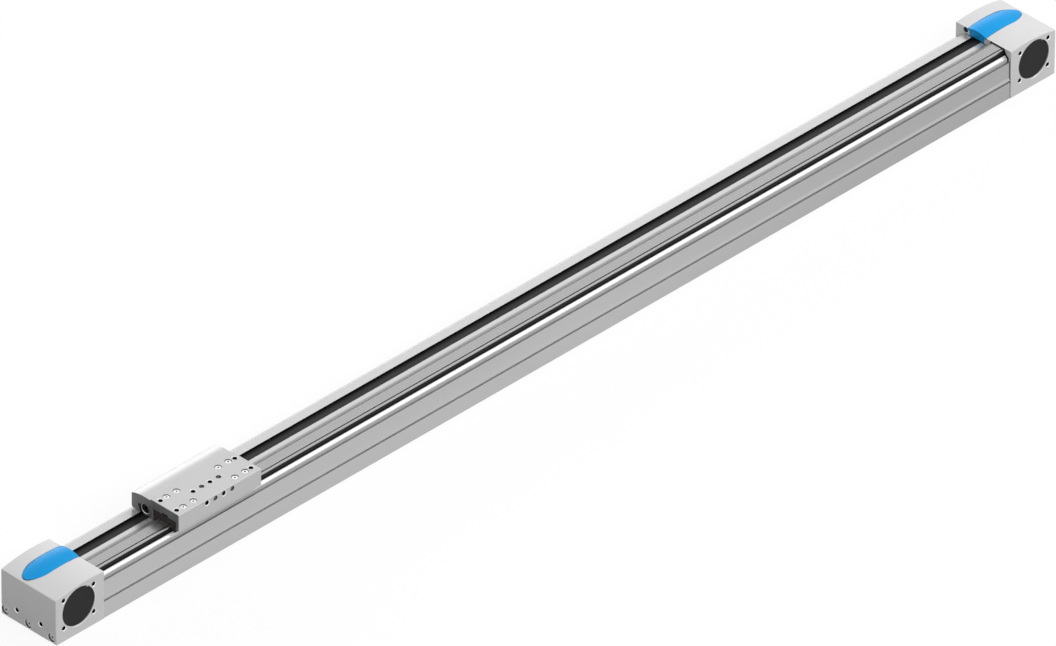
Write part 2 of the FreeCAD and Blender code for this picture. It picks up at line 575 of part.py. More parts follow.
# Pulley: a hollow shaft with a toothed rim, its two flanges, and the bearings with their retaining rings
def build_pulley(name, sign):
    rim = "(belt_width / 2 + slot_clearance)"
    tip = f"({web_radius} - mesh_clearance)"
    pulley = node(turned_about_y(name + "_pulley", [
        ("shaft_bore_radius", "-shaft_reach"), ("shaft_radius", "-shaft_reach"),
        ("shaft_radius", "-bearing_seat"), ("shaft_shoulder_radius", "-bearing_seat"),
        ("shaft_shoulder_radius", f"belt_centre - {flange_reach}"),
        ("flange_seat_radius", f"belt_centre - {flange_reach}"),
        ("flange_seat_radius", f"belt_centre - {rim}"), (tip, f"belt_centre - {rim}"),
        (tip, f"belt_centre + {rim}"), ("flange_seat_radius", f"belt_centre + {rim}"),
        ("flange_seat_radius", f"belt_centre + {flange_reach}"),
        ("shaft_shoulder_radius", f"belt_centre + {flange_reach}"),
        ("shaft_shoulder_radius", "bearing_seat"), ("shaft_radius", "bearing_seat"),
        ("shaft_radius", "shaft_reach"), ("shaft_bore_radius", "shaft_reach")]))
    gap = new_sketch(pulley, "XZ_Plane", f"{rim} - belt_centre")
    floor_half = "(tooth_tip / 2 + mesh_clearance)"
    mouth_half = "(tooth_root / 2 + mesh_clearance)"
    outline(gap, [(f"-{floor_half}", f"{tooth_radius} - mesh_clearance"),
                  (floor_half, f"{tooth_radius} - mesh_clearance"), (mouth_half, web_radius),
                  (mouth_half, back_radius), (f"-{mouth_half}", back_radius), (f"-{mouth_half}", web_radius)])
    first = pocket(pulley, gap, f"2 * {rim}")
    doc.recompute()
    pattern = pulley.newObject("PartDesign::PolarPattern", name + "_teeth")
    pattern.Originals = [first]
    axes = [feature for feature in pulley.Origin.OriginFeatures if feature.Role == "Y_Axis"]
    pattern.Axis = (axes[0], [""])
    pattern.Angle = 360
    pattern.setExpression("Occurrences", bound("pulley_teeth"))
    pulley.Tip = pattern

    flanges = [ring_about_y(f"{name}_flange", "flange_seat_radius + fit_clearance", "flange_radius",
                            f"belt_centre + {side} * {rim}", f"belt_centre + {side} * {flange_reach}")
               for side in (-1, 1)]
    turning = [pulley, *flanges]
    inner_face = "(shaft_radius + fit_clearance)"
    race_face = f"({inner_face} + inner_race)"
    shield = f"({race_face} + shield_clearance)"
    track = "(bearing_radius - outer_race)"
    clips = []
    for label, side in (("front", -1), ("rear", 1)):
        low, high = f"{side} * bearing_seat", f"{side} * (bearing_seat + bearing_width)"
        inset = f"{side} * shield_thickness"
        turning.append(node(ring_about_y(f"{name}_{label}_bearing_inner", inner_face, race_face, low, high)))
        shell = node(turned_about_y(f"{name}_{label}_bearing_outer", [
            (shield, low), ("bearing_radius", low), ("bearing_radius", high), (shield, high),
            (shield, f"{high} - {inset}"), (track, f"{high} - {inset}"), (track, f"{low} + {inset}"),
            (shield, f"{low} + {inset}")]))
        clip = ring_about_y(f"{name}_clip", "bearing_radius - clip_width", "bearing_radius", high,
                            f"{high} + {side} * clip_thickness")
        clips.append(clip)
        turning += [shell, clip]
    for piece in turning:
        place(piece, f"{sign} * {pulley_place}", "0", "axis_height")
    group(name + "_pulley_flanges", flanges)
    group(name + "_bearing_clips", clips)


# Toothed belt: one closed loop whose teeth mesh with both pulleys
def build_belt():
    span = value(pulley_place)
    runs = round(2 * span / value("belt_pitch"))
    wrap = round(value("pulley_teeth") / 2)
    web, pitch = value(web_radius), value(pitch_radius)
    root, tip = value("tooth_root") / 2, value("tooth_tip") / 2
    height = value("tooth_height")

    # A point of the belt's inside: which of its four stretches, how far along it, and how deep into the tooth
    def inside(stretch, run, depth):
        reach = web - depth
        if stretch in (0, 2):
            turn = 1 if stretch == 0 else -1
            return FreeCAD.Vector(turn * (run - span), 0, turn * reach)
        centre = span if stretch == 1 else -span
        angle = math.pi * (0.5 if stretch == 1 else 1.5) - run / pitch
        return FreeCAD.Vector(centre + reach * math.cos(angle), 0, reach * math.sin(angle))

    lengths = [2 * span, math.pi * pitch] * 2
    counts = [runs, wrap] * 2
    corners = []
    for stretch in range(4):
        step = lengths[stretch] / counts[stretch]
        before, last = (stretch - 1) % 4, lengths[(stretch - 1) % 4]
        for tooth in range(counts[stretch]):
            middle = tooth * step
            # the first tooth of a stretch straddles the joint with the stretch before it
            start = (before, last) if tooth == 0 else (stretch, middle)
            rise = [inside(start[0], start[1] - root, 0), inside(start[0], start[1] - tip, height)]
            fall = [inside(stretch, middle + tip, height), inside(stretch, middle + root, 0)]
            corners.append((stretch, rise + fall, inside(stretch, middle + step / 2, 0)))
    edges = []
    for index, (stretch, points, between) in enumerate(corners):
        following = corners[(index + 1) % len(corners)][1][0]
        edges += [Part.LineSegment(a, b).toShape() for a, b in zip(points, points[1:])]
        straight = stretch in (0, 2)
        gap = Part.LineSegment(points[3], following) if straight else Part.Arc(points[3], between, following)
        edges.append(gap.toShape())
    back = value(back_radius)
    ends = [FreeCAD.Vector(x, 0, z) for x, z in ((-span, back), (span, back), (span, -back), (-span, -back))]
    tips = [FreeCAD.Vector(turn * (span + back), 0, 0) for turn in (1, -1)]
    loop = [Part.LineSegment(ends[0], ends[1]), Part.Arc(ends[1], tips[0], ends[2]),
            Part.LineSegment(ends[2], ends[3]), Part.Arc(ends[3], tips[1], ends[0])]
    face = Part.Face([Part.Wire([edge.toShape() for edge in loop]), Part.Wire(edges)])
    face.validate()
    belt = node(doc.addObject("Part::Feature", "toothed_belt"))
    belt.Label = "toothed_belt"
    belt.Shape = face.extrude(FreeCAD.Vector(0, value("belt_width"), 0))
    place(belt, "0", "belt_centre - belt_width / 2", "axis_height")


# Slide: a bridge over the rail with a leg over the belt
def build_slide():
    body = node(new_body("slide_plate"))
    section = new_sketch(body, "YZ_Plane", "-slide_length / 2")
    notch = [f"rail_centre {sign} bridge_notch_width / 2" for sign in ("-", "+")]
    skirt_inner = "slide_front + skirt_wall"
    bore_half = "sqrt(clamp_radius ^ 2 - (clamp_height - leg_bottom) ^ 2)"
    round_drop = "(top_round_radius - sqrt(top_round_radius ^ 2 - (slide_rear - top_round_start) ^ 2))"
    outline(section, [
        ("leg_inner", "leg_bottom"), (f"belt_centre - {bore_half}", "leg_bottom", "clamp_radius", -1, True),
        (f"belt_centre + {bore_half}", "leg_bottom"), ("slide_rear - leg_chamfer", "leg_bottom"),
        ("slide_rear", "leg_bottom + leg_chamfer"), ("slide_rear", f"slide_top - top_step - {round_drop}",
                                                     "top_round_radius", 1, False),
        ("top_round_start", "slide_top - top_step"), ("top_step_place + slide_edge", "slide_top - top_step"),
        ("top_step_place", "slide_top"), ("slide_front + slide_edge", "slide_top"),
        ("slide_front", "slide_top - slide_edge"), ("slide_front", "skirt_bottom"),
        (skirt_inner, "skirt_bottom"), (skirt_inner, bridge_underside), (notch[0], bridge_underside),
        (notch[0], f"{bridge_underside} + bridge_notch"), (notch[1], f"{bridge_underside} + bridge_notch"),
        (notch[1], bridge_underside), ("leg_inner", bridge_underside)])
    pad(body, section, "slide_length")
    top_holes(body)
    side_threads = new_sketch(body, "XZ_Plane", "-slide_front")
    side_pins = new_sketch(body, "XZ_Plane", "-slide_front")
    for thread, pin in row_pairs:
        circle(side_threads, f"{thread} * row_pitch", "slide_top - side_row_depth", "thread_radius")
        circle(side_pins, f"{pin} * row_pitch", "slide_top - side_row_depth", "pin_hole_radius")
    pocket(body, side_threads, "thread_depth")
    pocket(body, side_pins, "pin_hole_depth")
    # a slit beside each end of the clamp bore lets it close on the clamp
    for sign in (-1, 1):
        slit = new_sketch(body, "YZ_Plane", f"{sign} * slide_length / 2")
        edge = "belt_centre + clamp_radius - clamp_slit_overlap"
        base = "clamp_height + clamp_slit_width / 2"
        rectangle(slit, edge, base, f"{edge} + clamp_slit_width", f"{base} + clamp_slit_height")
        pocket(body, slit, "clamp_slit_depth", reverse=sign < 0)
    place(body, slide_place)


# Corner threads, the middle row of threads and centring holes, and the bores of the runner screws
def top_holes(body):
    threads = new_sketch(body, "XY_Plane", "slide_top")
    pins = new_sketch(body, "XY_Plane", "slide_top")
    for run, rise in ((-1, -1), (-1, 1), (1, -1), (1, 1)):
        circle(threads, f"{run} * corner_hole_run / 2", f"rail_centre + {rise} * corner_hole_rise / 2",
               "thread_radius")
    for thread, pin in row_pairs:
        circle(threads, f"{thread} * row_pitch", "rail_centre", "thread_radius")
        circle(pins, f"{pin} * row_pitch", "rail_centre", "pin_hole_radius")
    pocket(body, threads, "thread_depth")
    pocket(body, pins, "pin_hole_depth")
    heads = new_sketch(body, "XY_Plane", "slide_top")
    shanks = new_sketch(body, "XY_Plane", "slide_top")
    for across, up in screw_places():
        circle(heads, across, up, "slide_bore_radius")
        circle(shanks, across, up, "slide_screw_radius + cap_hole_clearance")
    pocket(body, heads, "slide_head_sink + slide_head_height")
    pocket(body, shanks, "bridge_thickness")


def screw_places():
    return [(f"{block} * runner_run / 2 + {run} * runner_screw_run / 2",
             f"rail_centre + {rise} * runner_screw_rise / 2")
            for block in (-1, 1) for run in (-1, 1) for rise in (-1, 1)]


def build_slide_screws():
    screws = []
    for across, up in screw_places():
        screw = socket_screw("slide_screw", "slide_head_radius", "slide_head_height", "slide_screw_radius",
                             "(bridge_thickness - slide_head_sink + slide_screw_grip)")
        place(screw, f"{slide_place} + {across}", up, "slide_top - slide_head_sink")
        screws.append(screw)
    group("slide_screws", screws)


# Section of a runner round the rail, with a ridge in each ball track, shrunk by inset outside
def runner_section(sketch, inset):
    half = "(rail_width / 2 + runner_clearance)"
    flank = [(half, f"runner_bottom + {inset}"),
             (half, "track_height - track_mouth / 2 + runner_clearance / 2"),
             (f"{half} - track_depth", "track_height - track_mouth / 4 + runner_clearance / 2"),
             (f"{half} - track_depth", "track_height + track_mouth / 4 - runner_clearance / 2"),
             (half, "track_height + track_mouth / 2 - runner_clearance / 2"),
             (half, "rail_top + runner_clearance")]
    outside = f"(runner_width / 2 - {inset})"
    outline(sketch, [(f"rail_centre - ({across})", up) for across, up in flank]
            + [(f"rail_centre + {across}", up) for across, up in reversed(flank)]
            + [(f"rail_centre + {outside}", f"runner_bottom + {inset}"),
               (f"rail_centre + {outside}", f"{bridge_underside} - {inset}"),
               (f"rail_centre - {outside}", f"{bridge_underside} - {inset}"),
               (f"rail_centre - {outside}", f"runner_bottom + {inset}")])


def build_runner(name, sign):
    body = node(new_body(name + "_runner_block"))
    section = new_sketch(body, "YZ_Plane", "-runner_length / 2")
    runner_section(section, "0")
    pad(body, section, "runner_length")
    threads = new_sketch(body, "XY_Plane", bridge_underside)
    for run, rise in ((-1, -1), (-1, 1), (1, -1), (1, 1)):
        circle(threads, f"{run} * runner_screw_run / 2", f"rail_centre + {rise} * runner_screw_rise / 2",
               "slide_screw_radius + fit_clearance")
    pocket(body, threads, "slide_screw_grip + cap_hole_clearance")
    middle = f"{slide_place} + {sign} * runner_run / 2"
    place(body, middle)
    caps = []
    for end in (-1, 1):
        cap = new_body(name + "_runner_cap")
        face = new_sketch(cap, "YZ_Plane", f"{end} * runner_length / 2")
        runner_section(face, "runner_cap_inset")
        pad(cap, face, "runner_cap_length", reverse=end < 0)
        place(cap, middle)
        caps.append(cap)
    group(name + "_runner_end_caps", caps)


# Belt clamp: a round slug in the leg's bore with a foot that reaches down to the belt, and its screw
def build_clamp(name, sign):
    body = node(new_body(name + "_belt_clamp"))
    section = new_sketch(body, "YZ_Plane", f"{sign} * (slide_length / 2 - clamp_sink)")
    radius = "(clamp_radius - clamp_clearance)"
    half = "(clamp_foot_width / 2)"
    neck = f"clamp_height - sqrt({radius} ^ 2 - {half} ^ 2)"
    foot = f"axis_height + {back_radius} + clamp_belt_gap"
    outline(section, [(f"belt_centre - {half}", foot), (f"belt_centre + {half}", foot),
                      (f"belt_centre + {half}", neck, radius, 1, True), (f"belt_centre - {half}", neck)])
    pad(body, section, "clamp_length", reverse=sign > 0)
    for bore, depth in (("tension_head_radius", "tension_head_height + tension_head_sink"),
                        ("tension_screw_radius", "tension_screw_length + tension_head_sink")):
        hole = new_sketch(body, "YZ_Plane", f"{sign} * (slide_length / 2 - clamp_sink)")
        circle(hole, "belt_centre", "clamp_height", f"{bore} + cap_hole_clearance")
        pocket(body, hole, depth, reverse=sign < 0)
    place(body, slide_place)
    screw = node(socket_screw(name + "_tension_screw", "tension_head_radius", "tension_head_height",
                              "tension_screw_radius", "tension_screw_length"))
    screw.Placement = lying(sign)
    place(screw, f"{slide_place} + {sign} * (slide_length / 2 - clamp_sink - tension_head_sink)",
          "belt_centre", "clamp_height")


build_profile()
build_rail()
build_belt()
for name, sign in sides:
    build_cap(name, sign)
    build_cover(name, sign)
    build_seal(name, sign)
    build_buffer(name, sign)
    for label, side in (("front", -1), ("rear", 1)):
        build_port_cover(name, sign, label, side)
    build_cap_screws(name, sign)
    build_pulley(name, sign)
    build_runner(name, sign)
    build_clamp(name, sign)
build_slide()
build_slide_screws()
doc.recompute()

failed = [piece.Name for piece in doc.Objects if {"Invalid", "Error"} & set(piece.State)]
failed += [piece.Label for piece in nodes if piece.Shape.isNull() or not piece.Shape.isValid()]
if failed:
    raise RuntimeError("failed: " + ", ".join(failed))
os.makedirs("parts", exist_ok=True)
for piece in nodes:
    piece.Shape.exportStep(f"parts/{piece.Label}.step")
    print(f"{piece.Label}: {len(piece.Shape.Solids)} solids, {piece.Shape.Volume / 1000:.2f} cm3")
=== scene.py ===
import json
import math
import bpy
from mathutils import Matrix, Vector


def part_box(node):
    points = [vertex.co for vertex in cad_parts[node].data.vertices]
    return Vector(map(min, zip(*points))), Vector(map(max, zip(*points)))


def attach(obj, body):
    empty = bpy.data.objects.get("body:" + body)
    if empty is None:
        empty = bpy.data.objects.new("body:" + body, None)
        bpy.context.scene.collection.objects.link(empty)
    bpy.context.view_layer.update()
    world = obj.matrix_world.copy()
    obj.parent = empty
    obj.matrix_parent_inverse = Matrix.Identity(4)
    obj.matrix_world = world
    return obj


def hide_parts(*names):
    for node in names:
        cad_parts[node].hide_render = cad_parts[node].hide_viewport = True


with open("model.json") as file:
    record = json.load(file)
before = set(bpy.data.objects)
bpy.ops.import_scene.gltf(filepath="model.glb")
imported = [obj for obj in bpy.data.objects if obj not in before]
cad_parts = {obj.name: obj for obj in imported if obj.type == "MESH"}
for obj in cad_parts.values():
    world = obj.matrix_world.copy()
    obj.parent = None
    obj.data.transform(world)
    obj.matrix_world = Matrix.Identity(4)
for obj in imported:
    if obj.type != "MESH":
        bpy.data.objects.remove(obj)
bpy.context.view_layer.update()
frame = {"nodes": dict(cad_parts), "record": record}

mm = 0.001
mounts = {mount["name"]: mount for mount in frame["record"]["mounts"]}
ends = {"near": -1, "far": 1}  # which way is out along X
print("frame loaded:", len(frame["nodes"]), "nodes")


# Handling

def clearSelection():
    if bpy.context.object and bpy.context.object.mode != "OBJECT":
        bpy.ops.object.mode_set(mode="OBJECT")
    bpy.ops.object.select_all(action="DESELECT")


def pick(*pieces):
    clearSelection()
    for piece in pieces:
        piece.select_set(True)
    bpy.context.view_layer.objects.active = pieces[0]


def editAll(piece):
    pick(piece)
    bpy.ops.object.mode_set(mode="EDIT")
    bpy.ops.mesh.select_all(action="SELECT")


def endEdit():
    bpy.ops.object.mode_set(mode="OBJECT")


def selectEdges(piece, wanted):  # leaves the piece in edit mode with the wanted edges selected
    editAll(piece)
    bpy.ops.mesh.select_all(action="DESELECT")
    bpy.ops.mesh.select_mode(type="EDGE")
    endEdit()
    points = piece.data.vertices
    for edge in piece.data.edges:
        edge.select = wanted(*[points[index].co for index in edge.vertices])
    bpy.ops.object.mode_set(mode="EDIT")


def selectFaces(piece, wanted):  # leaves the piece in edit mode with the wanted faces selected
    editAll(piece)
    bpy.ops.mesh.select_all(action="DESELECT")
    bpy.ops.mesh.select_mode(type="FACE")
    endEdit()
    for face in piece.data.polygons:
        face.select = wanted(face.center, face.normal)
    bpy.ops.object.mode_set(mode="EDIT")


def applyModifier(piece, kind, **settings):
    modifier = piece.modifiers.new(kind.lower(), kind)
    for name, value in settings.items():
        setattr(modifier, name, value)
    pick(piece)
    bpy.ops.object.modifier_apply(modifier=modifier.name)


def roundEdges(piece, width, segments=2, angle=32):  # large faces keep their flat shading
    joinFlats(piece)
    smooth(piece)
    applyModifier(piece, "BEVEL", width=width * mm, segments=segments, limit_method="ANGLE",
                  angle_limit=math.radians(angle), use_clamp_overlap=True, harden_normals=True)


def smooth(piece, angle=35):
    pick(piece)
    bpy.ops.object.shade_smooth_by_angle(angle=math.radians(angle))


def copyOfNode(node, name, weld=0.002):  # the node's solid as clean faces, welded within so many mm
    piece = frame["nodes"][node].copy()
    piece.data = piece.data.copy()
    piece.name = piece.data.name = name
    piece.parent = None
    for key in list(piece.keys()):
        del piece[key]
    bpy.context.scene.collection.objects.link(piece)
    editAll(piece)
    bpy.ops.mesh.customdata_custom_splitnormals_clear()
    bpy.ops.mesh.remove_doubles(threshold=weld * mm)
    endEdit()
    return piece


def joinFlats(piece, angle=0.4):  # flat regions become single faces, so that their edges can be rounded
    editAll(piece)
    bpy.ops.mesh.dissolve_limited(angle_limit=math.radians(angle))
    endEdit()


def holeCentres(mount):  # the centres of a pattern's holes, from the record
    axis, middle, dims = Vector(mount["axis"]), Vector(mount["pos_m"]), mount["dims"]
    units = (Vector((1, 0, 0)), Vector((0, 1, 0)), Vector((0, 0, 1)))
    across = [unit for unit in units if abs(axis.dot(unit)) < 0.5]
    centres = [middle]
    for direction, key in zip(across, ("spacing_x_mm", "spacing_y_mm")):
        if key in dims:
            half = direction * dims[key] * mm / 2
            centres = [centre + half * side for centre in centres for side in (-1, 1)]
    return centres


# Rims are (centre, axis, radius), and ratio is the chamfer's depth to its width
def chamferMouths(piece, rims, width, ratio=1.0, over=0.2, sides=72):
    cutters = []
    for centre, axis, radius in rims:
        clearSelection()
        bpy.ops.mesh.primitive_cone_add(vertices=sides, depth=(width + 2 * over) * ratio * mm,
                                        radius1=radius - over * mm, radius2=radius + (width + over) * mm)
        cutter = bpy.context.object
        coat(cutter, "capMetal", "brightCutAndHighlight")  # the bright cut with its painted highlight is second, as on the piece
        for face in cutter.data.polygons:
            paint(cutter, face, "brightCutAndHighlight")
        turn = axis.to_track_quat("Z", "Y").to_matrix().to_4x4()
        cutter.data.transform(Matrix.Translation(centre - axis * width * ratio * mm / 2) @ turn)
        cutters.append(cutter)
    pick(*cutters)
    bpy.ops.object.join()
    applyModifier(piece, "BOOLEAN", object=cutters[0], operation="DIFFERENCE", solver="EXACT")
    bpy.data.objects.remove(cutters[0])


# The faces inside the holes take a darker finish as painted shade, from a skin in mm under the rim to a
# reach in radii
def shadeBores(piece, rims, finishName, skin=0.02, reach=4, slack=1.02):
    for face in piece.data.polygons:
        for centre, axis, radius in rims:
            offset = face.center - centre
            sunk = -offset.dot(axis)
            if skin * mm < sunk < reach * radius and (offset + axis * sunk).length < slack * radius:
                paint(piece, face, finishName)


def rimsOf(*names):  # the mouths of the holes in the record's patterns
    return [(centre, Vector(mounts[name]["axis"]), mounts[name]["dims"]["hole_r_mm"] * mm)
            for name in names for centre in holeCentres(mounts[name])]


def coat(piece, *names):  # the finishes of a piece, the first one on all its faces
    piece.data.materials.clear()
    for name in names:
        piece.data.materials.append(finishes[name])


def paint(piece, face, name):  # one face takes another of its piece's finishes
    face.material_index = piece.data.materials.find(name)


def dress(piece, body, slot, *replaced):  # its body and the nodes that it stands in for; slot is not used
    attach(piece, body)
    if replaced:
        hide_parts(*replaced)


# Shader groups that the finishes share

patternLook = {"lineDetail": 3.0, "bandScale": 0.22, "bandDetail": 2.0, "grainDetail": 3.0,
               "grainRough": 0.6, "low": 0.3, "high": 0.7, "slowShare": 0.5,
               "reliefHeight": 0.05}  # the height in mm


def newGroup(name, inputs, outputs):
    group = bpy.data.node_groups.new(name, "ShaderNodeTree")
    for label, default in inputs:
        socket = group.interface.new_socket(name=label, in_out="INPUT", socket_type="NodeSocketFloat")
        socket.default_value = default
    for label in outputs:
        group.interface.new_socket(name=label, in_out="OUTPUT", socket_type="NodeSocketFloat")
    return group, group.nodes.new("NodeGroupInput"), group.nodes.new("NodeGroupOutput")


def mathOn(tree, operation, first, second):  # each input is a socket or a number
    node = tree.nodes.new("ShaderNodeMath")
    node.operation = operation
    for socket, value in zip(node.inputs, (first, second)):
        if isinstance(value, (int, float)):
            socket.default_value = value
        else:
            tree.links.new(value, socket)
    return node.outputs[0]


def noiseOn(tree, vector, scale, detail, roughness=0.55):
    node = tree.nodes.new("ShaderNodeTexNoise")
    node.inputs["Detail"].default_value = detail
    node.inputs["Roughness"].default_value = roughness
    tree.links.new(vector, node.inputs["Vector"])
    if isinstance(scale, (int, float)):
        node.inputs["Scale"].default_value = scale
    else:
        tree.links.new(scale, node.inputs["Scale"])
    return node.outputs["Fac"]


def buildDrawnLines():  # lines along X, as a die or a grinding belt leaves them
    group, given, result = newGroup("drawnLines", [("Across", 900.0), ("Along", 4.0)], ["Lines", "Bands"])
    place = group.nodes.new("ShaderNodeTexCoord")
    stretch = group.nodes.new("ShaderNodeCombineXYZ")
    group.links.new(given.outputs["Along"], stretch.inputs["X"])
    group.links.new(given.outputs["Across"], stretch.inputs["Y"])
    group.links.new(given.outputs["Across"], stretch.inputs["Z"])
    scaled = group.nodes.new("ShaderNodeVectorMath")
    scaled.operation = "MULTIPLY"
    group.links.new(place.outputs["Object"], scaled.inputs[0])
    group.links.new(stretch.outputs[0], scaled.inputs[1])
    lines = noiseOn(group, scaled.outputs[0], 1.0, patternLook["lineDetail"])
    group.links.new(lines, result.inputs["Lines"])
    bands = noiseOn(group, scaled.outputs[0], patternLook["bandScale"], patternLook["bandDetail"])
    group.links.new(bands, result.inputs["Bands"])
    return group


def buildFineGrain():  # a blasted or moulded grain, with a slow change of tone
    group, given, result = newGroup("fineGrain", [("Size", 2600.0), ("Cloud", 18.0)], ["Grain", "Tone"])
    place = group.nodes.new("ShaderNodeTexCoord").outputs["Object"]
    detail = patternLook["grainDetail"]
    grain = noiseOn(group, place, given.outputs["Size"], detail, patternLook["grainRough"])
    group.links.new(grain, result.inputs["Grain"])
    group.links.new(noiseOn(group, place, given.outputs["Cloud"], detail), result.inputs["Tone"])
    return group


def buildSideFade():  # a share that changes from one side of the piece to the other, for painted shade
    limits = {"Start": "From Min", "End": "From Max", "First": "To Min", "Last": "To Max"}
    group, given, result = newGroup("sideFade", [(label, 1.0) for label in limits], ["AlongX", "AlongY"])
    place = group.nodes.new("ShaderNodeSeparateXYZ")
    group.links.new(group.nodes.new("ShaderNodeTexCoord").outputs["Object"], place.inputs[0])
    for axis in "XY":
        ramp = group.nodes.new("ShaderNodeMapRange")
        ramp.interpolation_type = "SMOOTHSTEP"
        group.links.new(place.outputs[axis], ramp.inputs["Value"])
        for label, limit in limits.items():
            group.links.new(given.outputs[label], ramp.inputs[limit])
        group.links.new(ramp.outputs[0], result.inputs[f"Along{axis}"])
    return group


drawnLines = buildDrawnLines()
fineGrain = buildFineGrain()
sideFade = buildSideFade()


def finish(name, look):  # a surface whose colour, roughness and relief follow one of the groups
    material = bpy.data.materials.new(name)
    material.use_nodes = True
    tree = material.node_tree
    shader = tree.nodes["Principled BSDF"]
    pattern = tree.nodes.new("ShaderNodeGroup")
    pattern.node_tree = drawnLines if look["pattern"] == "lines" else fineGrain
    fine, slow = pattern.outputs
    for label, value in look["scale"].items():
        pattern.inputs[label].default_value = value
    slowShare = look.get("slowShare", patternLook["slowShare"])
    blend = mathOn(tree, "ADD", mathOn(tree, "MULTIPLY", fine, 1 - slowShare),
                  mathOn(tree, "MULTIPLY", slow, slowShare))
    colours = tree.nodes.new("ShaderNodeValToRGB")
    limits = (patternLook["low"], patternLook["high"])
    for stop, place, colour in zip(colours.color_ramp.elements, limits, (look["dark"], look["light"])):
        stop.position = place
        stop.color = (*colour, 1)
    tree.links.new(blend, colours.inputs[0])
    shade = colours.outputs[0]
    if "fade" in look:  # painted shade, darker towards one side of the piece
        axis, *reach = look["fade"]
        fade, scaled = tree.nodes.new("ShaderNodeGroup"), tree.nodes.new("ShaderNodeVectorMath")
        fade.node_tree = sideFade
        for socket, value in zip(fade.inputs, reach):
            socket.default_value = value
        scaled.operation = "SCALE"
        tree.links.new(shade, scaled.inputs[0])
        tree.links.new(fade.outputs[f"Along{axis}"], scaled.inputs["Scale"])
        shade = scaled.outputs[0]
    tree.links.new(shade, shader.inputs["Base Color"])
    spread = tree.nodes.new("ShaderNodeMapRange")
    spread.inputs["From Min"].default_value, spread.inputs["From Max"].default_value = limits
    spread.inputs["To Min"].default_value, spread.inputs["To Max"].default_value = look["roughness"]
    tree.links.new(fine, spread.inputs["Value"])
    tree.links.new(spread.outputs[0], shader.inputs["Roughness"])
    relief = tree.nodes.new("ShaderNodeBump")
    relief.inputs["Strength"].default_value = look["relief"]
    relief.inputs["Distance"].default_value = patternLook["reliefHeight"] * mm
    tree.links.new(fine, relief.inputs["Height"])
    tree.links.new(relief.outputs[0], shader.inputs["Normal"])
    shader.inputs["Metallic"].default_value = look.get("metallic", 0.0)
    shader.inputs["Specular IOR Level"].default_value = look.get("specular", 0.5)
    return material


def grey(level):
    return (level, level, level)


